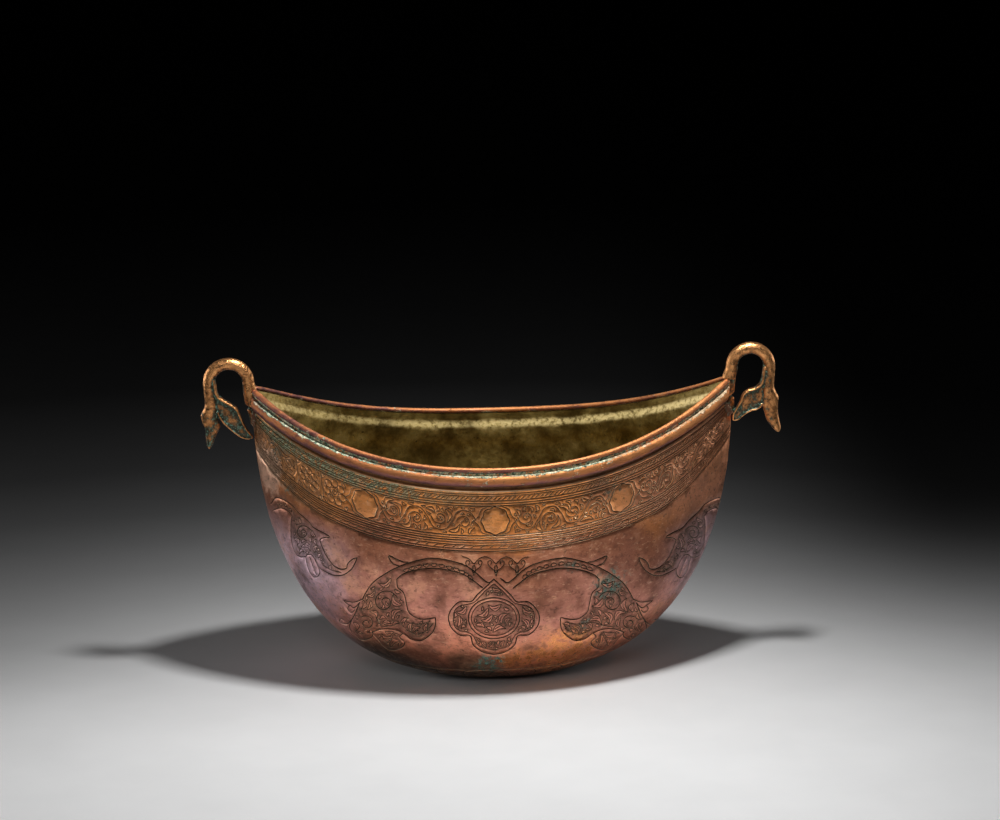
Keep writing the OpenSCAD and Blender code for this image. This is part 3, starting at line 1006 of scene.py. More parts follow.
def lining_rings(shape):
    """Inside of the sheet, from the edge of the wall down to the floor."""
    rows = []
    for s in np.linspace(shape.rim_wall, 0, 26):
        ridge = 1 - float(ease((s - 1.6) / 3.6))
        lean = shape.flare * max(0.0, s / shape.rim_wall) ** 1.5
        rows.append(("rim", s, lean - shape.wall - LINING_RIDGE * ridge))
    for k in np.linspace(1, 0, 72)[1:]:
        ridge = float(ease((k - 0.93) / 0.06))
        rows.append(("body", k, -shape.wall - LINING_RIDGE * ridge))
    rings = wall_rings(shape, rows)
    rings += [rings[-1] * [f, f, 1] for f in (0.85, 0.65, 0.45, 0.25, 0.1)]
    return rings


def outside_rings(shape):
    """Outside of the rim zone, from the shoulder to the inner edge of the wall."""
    s = np.linspace(0, shape.rim_wall, 22)
    rows = [("rim", t, n) for t, n in zip(s, shape.rim_n(s))]
    rows.append(("rim", shape.rim_wall, float(shape.rim_n(shape.rim_wall)) - shape.wall))
    return wall_rings(shape, rows)


RING_STEP = 12


class HookShape:
    """One hook in millimetres, built at the right-hand end; the left one is mirrored."""

    def __init__(self, shape, s, side):
        self.shape = shape
        self.mirror = side == "left"
        self.point = shape.points[0 if self.mirror else 1]
        for key in ("arch_r", "reach", "stand", "lift", "snout", "kick", "sag", "fork"):
            setattr(self, key, getattr(s, side + "_" + key) * 1000)
        self.neck_r = s.neck_d * 500
        self.tongue_half = s.tongue_width * 500
        self.tongue_foot = s.tongue_foot * 1000
        self.tongue_z = shape.end_z - s.tongue_length * 1000
        self.head_drop = s.head_drop * 1000
        self.edge_x = shape.half_l + shape.tip * float(shape.rim_n(shape.rim_wall))
        self.shoulder = shape.end_z - shape.rim_depth
        self.edge_z = self.shoulder + shape.rim_wall
        self.top_n, self.top_z = self.reach + self.arch_r, shape.end_z + self.lift
        self.points, self.faces = [], []

    def wall_at(self, y, z, n):
        """Point n out from the end wall at that width and height."""
        sh = self.shape
        if z < self.shoulder:
            k = (math.acos(math.cos(sh.turn) * (1 - z / self.shoulder)) - sh.turn) / (math.pi / 2 - sh.turn)
        else:
            k = 1.0
        half = float(sh.reach(k)[1])
        power = 1 + (self.point - 1) * float(sh.belly_out(k))
        a = math.acos((abs(y) / half) ** (1 / power)) * (-1 if self.mirror else 1)
        a = np.full(1, a)
        if z < self.shoulder:
            p = sh.body(a, np.full(1, k), n)[0]
        else:
            p = sh.rim_point(a, z - self.shoulder, float(sh.rim_n(z - self.shoulder)) + n)[0]
        return np.array([abs(p[0]), abs(p[1]) * (1 if y > 0 else -1), p[2]])

    def sweep(self, rings):
        """Adds a closed tube through the rings."""
        first, cols = len(self.points), len(rings[0])
        self.points.extend(np.concatenate(rings))
        self.faces.extend(tuple(first + i for i in f) for f in grid_faces(len(rings), cols))
        self.faces.append(tuple(first + i for i in reversed(range(cols))))
        self.faces.append(tuple(first + (len(rings) - 1) * cols + i for i in range(cols)))

    def round(self, n, z, along, half, deep):
        """Ring at n beyond the wall and height z, facing along."""
        tn, tz = np.asarray(along, float) / np.hypot(*along)
        q = np.radians(np.arange(0, 360, RING_STEP))
        c, w = np.cos(q), np.sin(q)
        return np.stack([self.edge_x + n + tz * half * w, -deep * c, z - tn * half * w], -1)

    def rod(self, line, half, deep):
        """Tube along a line of (n, z) points with half widths in its plane and across it."""
        line = np.asarray(line, float)
        along = np.gradient(line, axis=0)
        half, deep = np.broadcast_to(half, len(line)), np.broadcast_to(deep, len(line))
        self.sweep([self.round(p[0], p[1], d, h, w) for p, d, h, w in zip(line, along, half, deep)])

    def tongue(self):
        """Tongue on the wall, then the neck up to the start of the arch."""
        gap = self.shape.gap
        root_h = self.neck_r + 0.35
        out = (self.stand + root_h) / self.shape.tip
        q = np.radians(np.arange(0, 360, RING_STEP))
        rings = []
        for k in np.linspace(0, 1, 34):
            wide = self.tongue_half * (0.55 + 0.45 * float(ease(k / 0.4)))
            thick = self.tongue_foot + (out - self.tongue_foot) * float(ease(k / 0.75))
            z = self.tongue_z + (self.edge_z - self.tongue_z) * k
            lift = [gap + thick * max(0.0, math.sin(w)) ** 0.8 for w in q]
            rings.append(np.array([self.wall_at(-wide * math.cos(w), z, n) for w, n in zip(q, lift)]))
        rings.append(rings[-1] + [0, 0, gap + 0.9])
        self.sweep(rings)
        root_z = self.edge_z + gap + 0.1
        t = np.linspace(0, 1, 14)
        e = ease(t)
        line = np.stack([self.stand + (self.reach - self.arch_r - self.stand) * e,
                         root_z + (self.top_z - root_z) * t], -1)
        deep = self.tongue_half - gap + (self.neck_r - self.tongue_half + gap) * e
        b = np.radians(np.linspace(180, 0, 40))[1:]
        arch = np.stack([self.reach + self.arch_r * np.cos(b), self.top_z + self.arch_r * np.sin(b)], -1)
        arch = np.concatenate([arch, [(self.top_n, self.top_z - 1.0), (self.top_n - 0.1, self.top_z - 2.5)]])
        half = np.concatenate([root_h + (self.neck_r - root_h) * e, np.full(len(arch), self.neck_r)])
        deep = np.concatenate([deep, np.full(len(arch), self.neck_r)])
        self.rod(np.concatenate([line, arch]), half, deep)

    def blade(self, first, second, deep, flat=1.0):
        """Flat body between two edges given as (n, z) points."""
        q = np.radians(np.arange(0, 360, RING_STEP))
        c, w = np.cos(q), np.sin(q)
        c, w = np.sign(c) * np.abs(c) ** flat, np.sign(w) * np.abs(w) ** flat
        mid, half = (first + second) / 2, (first - second) / 2
        self.sweep([np.stack([self.edge_x + m[0] + h[0] * w, -d * c, m[1] + h[1] * w], -1)
                    for m, h, d in zip(mid, half, np.broadcast_to(deep, len(mid)))])

    def head(self):
        """Upper jaw with its crest, and the under-jaw with raised borders."""
        o = np.array([self.top_n, self.top_z])
        k = self.kick - 1
        end = -self.head_drop - self.snout
        outer = curve([(2.75, 0), (2.45, -5), (2.2, -9.8), (3.4, -12.8), (4.2, -14.9),
                       (3.75 + 0.07 * k, -17.8), (2.6 + 0.34 * k, -21), (2.3 + 0.6 * k, -25.3),
                       (2.0 + 0.88 * k, end + 1.8), (1.2 + 0.92 * k, end)], fine=8) + o
        inner = curve([(-2.75, 0), (-3.0, -5), (-3.3, -9.8), (-3.4, -12.8), (-3.5, -14.9), (-3.7, -17.6),
                       (-4.4 + 0.45 * k, -20.3), (-2.2 + 0.2 * k, -24.8), (-1.0 + 0.6 * k, end + 2.2),
                       (0.5 + 0.76 * k, end)], fine=8) + o
        t = np.linspace(0, 1, len(outer))
        blunt = np.sqrt(np.clip((1.02 - t) / 0.1, 0.04, 1))
        self.blade(outer, inner, self.neck_r * (1 - 0.42 * t ** 1.4) * blunt)
        sag, fork = self.sag, -self.fork
        upper = curve([(-2.0, 3.0 - sag), (-3.2, -3.9 - sag), (-6.2, -7.1 - sag), (-9.6, -9.2 - sag * 0.6),
                       (-12.0, -11.3 - sag * 0.5), (-13.1, -13.9 - sag * 0.7), (-15.2, -19.2), (-17.2, -22.6),
                       (-19.0, -25.0 + sag * 0.3)], fine=7) + o
        lower = curve([(-2.6, -4.0 - sag), (-3.0, -8.0 - sag), (-3.4, fork), (-5.5, (fork - 20.8) / 2 - 0.9),
                       (-8.0, -20.9), (-11.0, -23.6 + sag * 0.5), (-14.2, -25.8 + sag * 0.4),
                       (-16.8, -26.4 + sag * 0.5), (-19.2, -25.9 + sag * 0.6)], fine=7) + o
        for line in (upper, lower):
            for p in line:
                p[0] = max(p[0], self.wall_at(0.0, p[1], 0.0)[0] - self.edge_x + 0.9)
        u = np.linspace(0, 1, len(upper))
        self.blade(upper, lower, 1.3 - 0.6 * u, 0.75)
        way = (lower - upper) / np.maximum(np.linalg.norm(lower - upper, axis=1), 0.5)[:, None]
        brow, chin = 0.95 - 0.5 * u, 0.75 - 0.4 * u
        self.rod(upper + way * brow[:, None], brow, 2.4 - 1.3 * u)
        keep = 14
        self.rod((lower - way * chin[:, None])[keep:], chin[keep:], (2.0 - 1.0 * u)[keep:])

    def build(self):
        """Points and faces of the whole hook, before it is cast in one."""
        self.tongue()
        self.head()
        points = np.array(self.points)
        faces = self.faces
        if self.mirror:
            points = points * [-1, 1, 1]
            faces = [tuple(reversed(f)) for f in faces]
        return points, faces


class Nodes:
    """Short ways to add shader nodes to one tree."""

    def __init__(self, tree):
        self.tree = tree

    def add(self, kind, inputs=None, **settings):
        node = self.tree.nodes.new(kind)
        for key, value in settings.items():
            setattr(node, key, value)
        for key, value in (inputs or {}).items():
            if isinstance(value, bpy.types.NodeSocket):
                self.tree.links.new(value, node.inputs[key])
            else:
                node.inputs[key].default_value = value
        return node

    def noise(self, vector, scale, detail=4.0, rough=0.6):
        return self.add("ShaderNodeTexNoise", {"Vector": vector, "Scale": scale, "Detail": detail,
                                               "Roughness": rough}).outputs["Fac"]

    def fit(self, value, lo, hi, to_lo=0.0, to_hi=1.0):
        """Value brought from one range to another, with soft ends."""
        inputs = {"Value": value, "From Min": lo, "From Max": hi, "To Min": to_lo, "To Max": to_hi}
        return self.add("ShaderNodeMapRange", inputs, interpolation_type="SMOOTHSTEP").outputs["Result"]

    def share(self, value, top):
        """Value as a share of its top."""
        return self.add("ShaderNodeMapRange", {"Value": value, "From Max": top}).outputs["Result"]

    def math(self, kind, a, b=None, clamp=False):
        inputs = {0: a} if b is None else {0: a, 1: b}
        return self.add("ShaderNodeMath", inputs, operation=kind, use_clamp=clamp).outputs[0]

    def times(self, value, *others):
        """Product of several values."""
        for other in others:
            value = self.math("MULTIPLY", value, other)
        return value

    def most(self, value, *others):
        """Largest of several values."""
        for other in others:
            value = self.math("MAXIMUM", value, other)
        return value

    def swing(self, value, size):
        """Noise about its middle, times a size."""
        return self.times(self.math("SUBTRACT", value, 0.5), size)

    def stretch(self, vector, scale):
        return self.add("ShaderNodeVectorMath", {0: vector, 1: scale}, operation="MULTIPLY").outputs["Vector"]

    def away(self, vector, place):
        return self.add("ShaderNodeVectorMath", {0: vector, 1: place}, operation="DISTANCE").outputs["Value"]

    def xyz(self, vector):
        return self.add("ShaderNodeSeparateXYZ", {0: vector}).outputs

    def mix(self, fac, a, b, kind="MIX"):
        return self.add("ShaderNodeMix", {0: fac, 6: a, 7: b}, data_type="RGBA", blend_type=kind).outputs[2]

    def stain(self, colour, value, lo, hi, amount, tint):
        """Colour tinted by up to that amount where the value goes from lo to hi."""
        return self.mix(self.fit(value, lo, hi, 0.0, amount), colour, tint)

    def ramp(self, value, stops):
        node = self.add("ShaderNodeValToRGB", {"Fac": value})
        bar = node.color_ramp
        while len(bar.elements) < len(stops):
            bar.elements.new(0.5)
        for item, (place, colour) in zip(bar.elements, stops):
            item.position = place
            item.color = (*colour, 1.0)
        return node.outputs["Color"]

    def attribute(self, name):
        return self.add("ShaderNodeAttribute", attribute_name=name).outputs["Fac"]


def new_group(name, inputs, outputs):
    """Empty shader node group with its sockets."""
    tree = bpy.data.node_groups.new(name, "ShaderNodeTree")
    for label, kind, value in inputs:
        socket = tree.interface.new_socket(label, in_out="INPUT", socket_type=kind)
        if value is not None:
            socket.default_value = value
    for label, kind in outputs:
        tree.interface.new_socket(label, in_out="OUTPUT", socket_type=kind)
    build = Nodes(tree)
    start, end = build.add("NodeGroupInput"), build.add("NodeGroupOutput")
    return build, start, end


def tarnish_group():
    """Cloudy tarnish in three sizes and the fine grain of worn metal."""
    layers = (("Cloud", 24.0, 3.0, 0.55), ("Patch", 95.0, 5.0, 0.62), ("Speck", 520.0, 4.0, 0.65),
              ("Grain", 1900.0, 3.0, 0.6))
    build, start, end = new_group("Tarnish", [("Vector", "NodeSocketVector", None)],
                                  [(layer[0], "NodeSocketFloat") for layer in layers])
    for label, scale, detail, rough in layers:
        build.tree.links.new(build.noise(start.outputs["Vector"], scale, detail, rough), end.inputs[label])


def spot_group():
    """Soft spot round a place, broken up by noise."""
    build, start, end = new_group("Spot", [
        ("Vector", "NodeSocketVector", None), ("Place", "NodeSocketVector", None),
        ("Radius", "NodeSocketFloat", 0.01), ("Break", "NodeSocketFloat", 0.5)],
        [("Amount", "NodeSocketFloat")])
    away = build.away(start.outputs["Vector"], start.outputs["Place"])
    near = build.math("SUBTRACT", 1.0, build.math("DIVIDE", away, start.outputs["Radius"]), True)
    broken = build.noise(start.outputs["Vector"], 230.0, 6.0, 0.7)
    amount = build.math("SUBTRACT", build.math("ADD", near, broken), start.outputs["Break"])
    build.tree.links.new(build.fit(amount, 0.42, 0.75), end.inputs["Amount"])


def new_material(name):
    """Material with its object coordinates and tarnish ready."""
    material = bpy.data.materials.new(name)
    material.use_nodes = True
    tree = material.node_tree
    tree.nodes.clear()
    build = Nodes(tree)
    place = build.add("ShaderNodeTexCoord").outputs["Object"]
    tarnish = build.add("ShaderNodeGroup", node_tree=bpy.data.node_groups["Tarnish"])
    tree.links.new(place, tarnish.inputs["Vector"])
    return build, place, tarnish.outputs


def finish_material(build, colour, metallic, rough, height, depth, shine=0.5):
    """Principled surface with a bump from the height."""
    bump = build.add("ShaderNodeBump", {"Height": height, "Strength": 1.0, "Distance": depth})
    surface = build.add("ShaderNodeBsdfPrincipled", {
        "Base Color": colour, "Metallic": metallic, "Roughness": rough, "Specular IOR Level": shine,
        "Normal": bump.outputs["Normal"]})
    build.add("ShaderNodeOutputMaterial", {"Surface": surface.outputs["BSDF"]})


def spots(build, place, places):
    """Largest of several spots."""
    amounts = []
    for centre, radius, broken in places:
        node = build.add("ShaderNodeGroup", node_tree=bpy.data.node_groups["Spot"])
        build.tree.links.new(place, node.inputs["Vector"])
        node.inputs["Place"].default_value = centre
        node.inputs["Radius"].default_value = radius
        node.inputs["Break"].default_value = broken
        amounts.append(node.outputs["Amount"])
    return build.most(*amounts)


CHALK = [(0.39, (0.05, 0.075, 0.05)), (0.46, (0.24, 0.36, 0.25)), (0.53, (0.56, 0.60, 0.42)),
         (0.62, (1.0, 0.90, 0.66))]
# Copper tones by height; the near-black stops at the foot are painted shade under the belly.
COPPER_UPWARDS_SHADED_BASE = [
    (0.0, (0.05, 0.03, 0.02)), (0.06, (0.22, 0.1, 0.06)), (0.14, (0.84, 0.32, 0.19)),
    (0.33, (0.58, 0.24, 0.175)), (0.45, (0.37, 0.145, 0.09)), (0.56, (0.45, 0.165, 0.08)),
    (0.67, (0.96, 0.35, 0.09)), (1.0, (1.0, 0.44, 0.15))]
SUNK_TONES = [(0.4, (0.085, 0.045, 0.026)), (0.6, (0.05, 0.062, 0.045))]
GREEN_TONES = [(0.38, (0.03, 0.055, 0.045)), (0.6, (0.2, 0.34, 0.27))]
OLD_TONES = [(0.42, (0.10, 0.07, 0.035)), (0.6, (0.24, 0.15, 0.085))]
VERGE_TONES = [(0.36, (0.02, 0.045, 0.035)), (0.5, (0.30, 0.27, 0.12)), (0.62, (0.42, 0.55, 0.40))]
PAINTED_HIGHLIGHT_SPOTS = [((-0.107, -0.012, 0.097), 0.016, 0.15), ((-0.104, -0.02, 0.085), 0.012, 0.4)]
PAINTED_REFLECTION_SPOTS = [((0.03, -0.04, 0.012), 0.026, 0.26), ((0.008, -0.042, 0.012), 0.016, 0.36)]
GREEN_SPOTS = [
    ((-0.098, -0.025, 0.09), 0.012, 0.42), ((-0.1, -0.022, 0.112), 0.016, 0.4),
    ((-0.005, -0.039, 0.011), 0.016, 0.46), ((0.086, -0.04, 0.108), 0.02, 0.45),
    ((0.058, -0.055, 0.094), 0.022, 0.5), ((0.104, -0.018, 0.1), 0.014, 0.45),
    ((0.034, -0.054, 0.06), 0.009, 0.5), ((0.04, -0.046, 0.027), 0.011, 0.42),
    ((0.054, -0.049, 0.047), 0.018, 0.34), ((0.0645, -0.0445, 0.046), 0.011, 0.3),
    ((0.072, -0.04, 0.04), 0.011, 0.36), ((-0.06, -0.047, 0.046), 0.013, 0.48)]


def chalk(build, place):
    """Colour of the crust: white and green specks with dark gaps."""
    return build.ramp(build.noise(place, 780.0, 4.0, 0.7), CHALK)


def sheet_copper(build, place, tarnish, mottle, tints):
    """Bare sheet: golden high up, brown lower down with painted shade at the foot, mauve tarnish with a
    painted sheen low at the ends, cloudy, painted dark shade and red at the right.
    """
    xyz = build.xyz(place)
    towards = build.math("MINIMUM", xyz["X"], 0.0)
    high = build.math("ADD", xyz["Z"], build.swing(tarnish["Cloud"], 0.06))
    high = build.math("SUBTRACT", high, build.times(towards, towards, 1.6))
    colour = build.ramp(build.share(high, 0.125), COPPER_UPWARDS_SHADED_BASE)
    # Mauve low at both ends: partly tarnish, partly a painted sheen of reflected light.
    side = build.most(build.fit(xyz["X"], -0.058, -0.09), build.fit(xyz["X"], 0.07, 0.1))
    mauve = build.times(side, build.fit(xyz["Z"], 0.085, 0.052),
                        build.fit(tarnish["Patch"], 0.36, 0.56, 0.5, 0.95))
    colour = build.mix(mauve, colour, tints.mauve)
    cloud = build.noise(place, 46.0, 4.0, 0.6)
    colour = build.stain(colour, cloud, 0.5, 0.68, 0.6, tints.cloud)
    colour = build.stain(colour, cloud, 0.46, 0.32, 0.45, tints.fresh)
    colour = build.stain(colour, tarnish["Patch"], 0.52, 0.68, 0.38, (0.16, 0.065, 0.04, 1))
    colour = build.stain(colour, mottle, 0.52, 0.7, 0.42, (0.11, 0.046, 0.032, 1))
    colour = build.stain(colour, mottle, 0.46, 0.3, 0.28, (0.92, 0.50, 0.28, 1))
    # Painted shade: the right part of the body, below the band and above the foot, is darkened.
    dark = build.times(build.fit(xyz["X"], 0.035, 0.075), build.fit(xyz["Z"], 0.1, 0.085),
                       build.fit(xyz["Z"], 0.03, 0.05, 0.0, 0.45))
    colour = build.mix(dark, colour, (0.15, 0.055, 0.035, 1))
    red = build.times(build.fit(xyz["X"], 0.02, 0.08, 0.0, 0.6), build.fit(xyz["Z"], 0.07, 0.085))
    return build.mix(red, colour, tints.red)


def scratched_copper_and_painted_light(build, colour, place, mottle, tints):
    """Painted highlight in light spots at the left edge, fine scratches, and a painted reflection of the lit
    floor low on the right: colour and reflection mask.
    """
    # Painted highlight at the left edge of the body.
    painted_highlight = build.times(spots(build, place, PAINTED_HIGHLIGHT_SPOTS), 0.85)
    colour = build.mix(painted_highlight, colour, tints.painted_highlight)
    scratch = build.noise(build.stretch(place, (0.3, 1.0, 1.25)), 620.0, 4.0, 0.7)
    colour = build.stain(colour, scratch, 0.56, 0.68, 0.5, (0.10, 0.042, 0.028, 1))
    colour = build.stain(colour, scratch, 0.43, 0.33, 0.3, (1.0, 0.58, 0.36, 1))
    # Painted reflection of the lit floor, low on the right.
    painted_reflection = build.times(spots(build, place, PAINTED_REFLECTION_SPOTS), build.fit(mottle, 0.62, 0.4, 0.2, 0.9))
    return build.mix(painted_reflection, colour, tints.painted_reflection), painted_reflection


def aged_copper(build, colour, place, tarnish, mottle, ground):
    """Green spots, old patina at the left and crust along the verge of the band: colour and dullness."""
    across = build.xyz(place)["X"]
    caught = build.math("ADD", build.fit(tarnish["Speck"], 0.46, 0.56), build.times(ground, 0.5), True)
    green = build.times(spots(build, place, GREEN_SPOTS), caught)
    colour = build.mix(green, colour, build.ramp(tarnish["Grain"], GREEN_TONES))
    verge = build.attribute("verge")
    old = build.times(build.fit(across, -0.055, -0.1), build.fit(verge, 0.0, 0.05),
                      build.fit(mottle, 0.36, 0.6, 0.3, 0.75))
    colour = build.mix(old, colour, build.ramp(tarnish["Speck"], OLD_TONES))
    verge = build.times(build.fit(verge, 0.1, 0.6), build.fit(across, 0.0, -0.055, 0.12, 1.0),
                        build.fit(tarnish["Speck"], 0.38, 0.5),
                        build.fit(tarnish["Patch"], 0.38, 0.52, 0.4, 1.0))
    colour = build.mix(verge, colour, build.ramp(tarnish["Grain"], VERGE_TONES))
    return colour, build.most(green, verge, build.times(old, 0.7))


def cut_copper(build, colour, place, tarnish, tints):
    """Painted highlights on the lips of the cuts, strongest high up and towards the middle, and dark bottoms
    of the cuts: colour and darkness.
    """
    xyz = build.xyz(place)
    cut = build.attribute("cut")
    # Painted highlight along the lips of the cuts, stronger high up and towards the middle.
    edge = build.times(build.fit(cut, 0.0, 0.08), build.fit(cut, 0.45, 0.25),
                       build.fit(xyz["Z"], 0.055, 0.085, 0.45, 0.95),
                       build.fit(build.math("ABSOLUTE", xyz["X"]), 0.1, 0.06, 0.25, 1.0))
    colour = build.mix(edge, colour, tints.edge)
    dark = build.times(build.fit(cut, 0.05, 0.4), build.fit(xyz["Z"], 0.085, 0.072))
    dark = build.most(dark, build.fit(cut, 0.26, 0.65))
    dark = build.times(dark, build.fit(tarnish["Patch"], 0.3, 0.7, 1.0, 0.88))
    return build.mix(dark, colour, tints.soot), dark


def engraved_material(tints):
    """Tarnished copper: warm high up, brown and mauve lower down, dark in the cuts, with painted shade,
    sheen, highlights and a painted reflection of the floor.
    """
    build, place, tarnish = new_material("copper_cut")
    ground = build.attribute("ground")
    mottle = build.noise(place, 210.0, 6.0, 0.68)
    colour = sheet_copper(build, place, tarnish, mottle, tints)
    colour = build.stain(colour, ground, -0.02, -0.25, 0.4, tints.leaf)
    colour, painted_reflection = scratched_copper_and_painted_light(build, colour, place, mottle, tints)
    colour = build.stain(colour, tarnish["Speck"], 0.56, 0.74, 0.7, (0.06, 0.035, 0.026, 1))
    sunk = build.times(ground, build.fit(tarnish["Speck"], 0.3, 0.65, 0.2, 0.65))
    colour = build.mix(sunk, colour, build.ramp(mottle, SUNK_TONES))
    colour, aged = aged_copper(build, colour, place, tarnish, mottle, ground)
    colour, dark = cut_copper(build, colour, place, tarnish, tints)
    crust = build.times(build.attribute("crust"), build.fit(tarnish["Speck"], 0.36, 0.5))
    colour = build.mix(crust, colour, chalk(build, place))
    dull = build.most(dark, aged, crust)
    metallic = build.math("SUBTRACT", 0.9, build.times(dull, 0.75))
    rough = build.fit(mottle, 0.3, 0.7, 0.27, 0.5)
    rough = build.math("ADD", rough, build.times(build.most(dull, ground), 0.15), True)
    rough = build.math("SUBTRACT", rough, build.times(painted_reflection, 0.1), True)
    stipple = build.times(ground, build.noise(place, 1500.0, 2.0, 0.5))
    height = build.math("ADD", build.times(tarnish["Speck"], 0.5), stipple)
    finish_material(build, colour, metallic, rough, height, 0.00025, build.fit(dull, 0.0, 1.0, 0.5, 0.12))


def lining_material(tints):
    """Worn tin over copper: olive gold, with a painted highlight in a band under the edge that grows towards
    the right, and rubbed bright at the ends.
    """
    build, place, tarnish = new_material("tin_lining")
    across = build.xyz(place)["X"]
    colour = build.ramp(tarnish["Patch"], [
        (0.3, (0.15, 0.095, 0.022)), (0.45, (0.27, 0.18, 0.045)), (0.58, (0.42, 0.30, 0.085)),
        (0.72, (0.52, 0.38, 0.13))])
    colour = build.stain(colour, tarnish["Cloud"], 0.42, 0.65, 0.6, (0.12, 0.07, 0.013, 1))
    ends = build.times(build.fit(build.math("ABSOLUTE", across), 0.075, 0.1),
                       build.fit(tarnish["Speck"], 0.56, 0.44))
    # Painted highlight: the band under the edge, brighter to the right, stands in for the reflection of the
    # light above; the ends are rubbed tin.
    ragged = build.math("ADD", build.attribute("bright"), build.swing(tarnish["Patch"], 1.8))
    rubbed = build.times(build.fit(ragged, 0.1, 1.0), build.fit(across, -0.08, 0.06, 0.55, 1.0),
                         build.fit(tarnish["Speck"], 0.62, 0.44, 0.35, 1.0))
    rubbed = build.most(rubbed, build.times(ends, 0.24))
    colour = build.mix(rubbed, colour, tints.tin)
    colour = build.stain(colour, tarnish["Speck"], 0.58, 0.75, 0.75, (0.06, 0.04, 0.014, 1))
    rough = build.fit(tarnish["Patch"], 0.3, 0.7, 0.36, 0.55)
    metallic = build.math("SUBTRACT", 0.9, build.times(rubbed, 0.8))
    finish_material(build, colour, metallic, rough, tarnish["Speck"], 0.00025)


def rim_material(tints):
    """Copper rubbed bright on the crests, with a chalky crust in the groove."""
    build, place, tarnish = new_material("copper_rim")
    across = build.xyz(place)["X"]
    streak = build.noise(build.stretch(place, (0.25, 1.0, 1.0)), 260.0, 5.0, 0.65)
    level = build.math("ADD", build.attribute("worn"), build.swing(streak, 1.3))
    level = build.math("SUBTRACT", level, build.fit(across, 0.02, -0.1, -0.05, 0.3))
    colour = build.ramp(level, [
        (0.05, (0.12, 0.05, 0.05)), (0.35, (0.30, 0.12, 0.10)), (0.6, (0.56, 0.21, 0.085)),
        (0.95, (0.70, 0.29, 0.10))])
    colour = build.stain(colour, tarnish["Speck"], 0.57, 0.75, 0.7, tints.rim_speck)
    patchy = build.math("ADD", build.swing(tarnish["Speck"], 2.3), build.swing(tarnish["Patch"], 2.3))
    patchy = build.math("ADD", build.attribute("crust"), patchy)
    crust = build.times(build.fit(patchy, 0.42, 0.75), build.fit(tarnish["Cloud"], 0.36, 0.52, 0.6, 1.0),
                        build.fit(across, 0.03, 0.09, 1.0, 0.55))
    colour = build.mix(crust, colour, chalk(build, place))
    metallic = build.math("SUBTRACT", 0.75, build.times(crust, 0.65))
    rough = build.math("ADD", build.fit(streak, 0.3, 0.7, 0.46, 0.66), build.times(crust, 0.35), True)
    height = build.math("ADD", tarnish["Speck"], build.times(crust, tarnish["Grain"]))
    finish_material(build, colour, metallic, rough, height, 0.0003)


def hook_material(tints):
    """Cast bronze: golden where handled, dark with green specks in the hollows."""
    build, place, tarnish = new_material("bronze_cast")
    mottle = build.noise(place, 240.0, 6.0, 0.7)
    level = build.math("ADD", build.attribute("worn"), build.swing(mottle, 2.1))
    colour = build.ramp(level, [
        (0.12, (0.028, 0.034, 0.028)), (0.38, (0.13, 0.075, 0.04)), (0.6, (0.50, 0.21, 0.075)),
        (0.9, (0.92, 0.43, 0.16))])
    colour = build.stain(colour, tarnish["Speck"], 0.52, 0.68, 0.85, (0.04, 0.028, 0.018, 1))
    colour = build.stain(colour, level, 0.6, 0.35, 0.6, tints.bronze_dark)
    dust = build.noise(place, 1000.0, 3.0, 0.6)
    green = build.times(build.fit(level, 0.6, 0.3), build.fit(dust, 0.52, 0.62))
    colour = build.mix(green, colour, tints.bronze_green)
    metallic = build.math("SUBTRACT", 0.92, build.times(green, 0.8))
    rough = build.fit(tarnish["Patch"], 0.3, 0.7, 0.27, 0.42)
    rough = build.math("ADD", rough, build.times(green, 0.3), True)
    finish_material(build, colour, metallic, rough, tarnish["Speck"], 0.00045)


def solder_material():
    """Dull solder, tarnished brown and green."""
    build, place, tarnish = new_material("solder_dull")
    colour = build.ramp(tarnish["Patch"], [
        (0.3, (0.09, 0.045, 0.03)), (0.55, (0.30, 0.13, 0.075)), (0.75, (0.42, 0.21, 0.12))])
    colour = build.stain(colour, tarnish["Speck"], 0.48, 0.62, 0.85, chalk(build, place))
    rough = build.fit(tarnish["Patch"], 0.3, 0.7, 0.45, 0.65)
    finish_material(build, colour, 0.7, rough, tarnish["Speck"], 0.0003)


FLOOR_LIGHT_POOL_TONES = ((0.13, 0.8), (0.2, 0.66), (0.267, 0.43), (0.295, 0.33), (0.328, 0.24), (0.367, 0.16),
               (0.4, 0.105), (0.467, 0.052), (0.6, 0.018), (1.0, 0.004))


def floor_material():
    """Pale paper with a painted pool of light in front that falls off into the dark at the back, and painted
    shade to the right and left.
    """
    build, place, tarnish = new_material("floor_paper")
    # Painted pool of light: the floor darkens with distance from a point in front of the bowl.
    away = build.share(build.away(place, (-0.06, -0.3, 0)), 1.5)
    colour = build.ramp(away, [(at, (tone, tone, tone)) for at, tone in FLOOR_LIGHT_POOL_TONES])
    cloudy = build.ramp(tarnish["Cloud"], [(0.3, (0, 0, 0)), (0.7, (1, 1, 1))])
    colour = build.mix(0.04, colour, cloudy, "MULTIPLY")
    xyz = build.xyz(place)
    # Painted shade on the floor at the right back and at the left.
    right = build.times(build.fit(xyz["X"], 0.05, 0.25), build.fit(xyz["Y"], -0.1, 0.3), 0.92)
    left = build.times(build.fit(xyz["X"], -0.04, -0.24), build.fit(xyz["Y"], -0.1, 0.06), 0.3)
    colour = build.mix(build.most(right, left), colour, (0.002, 0.002, 0.002, 1))
    finish_material(build, colour, 0.0, 0.9, tarnish["Grain"], 0.00002, 0.0)


def made_shape(context):
    """Wall and camera from the settings of the scene."""
    s = context.scene
    return BowlShape(s.bowl_settings), Look(s.stage_settings)


def dress(obj, name):
    """Gives the object its one material."""
    obj.data.materials.clear()
    obj.data.materials.append(bpy.data.materials[name])


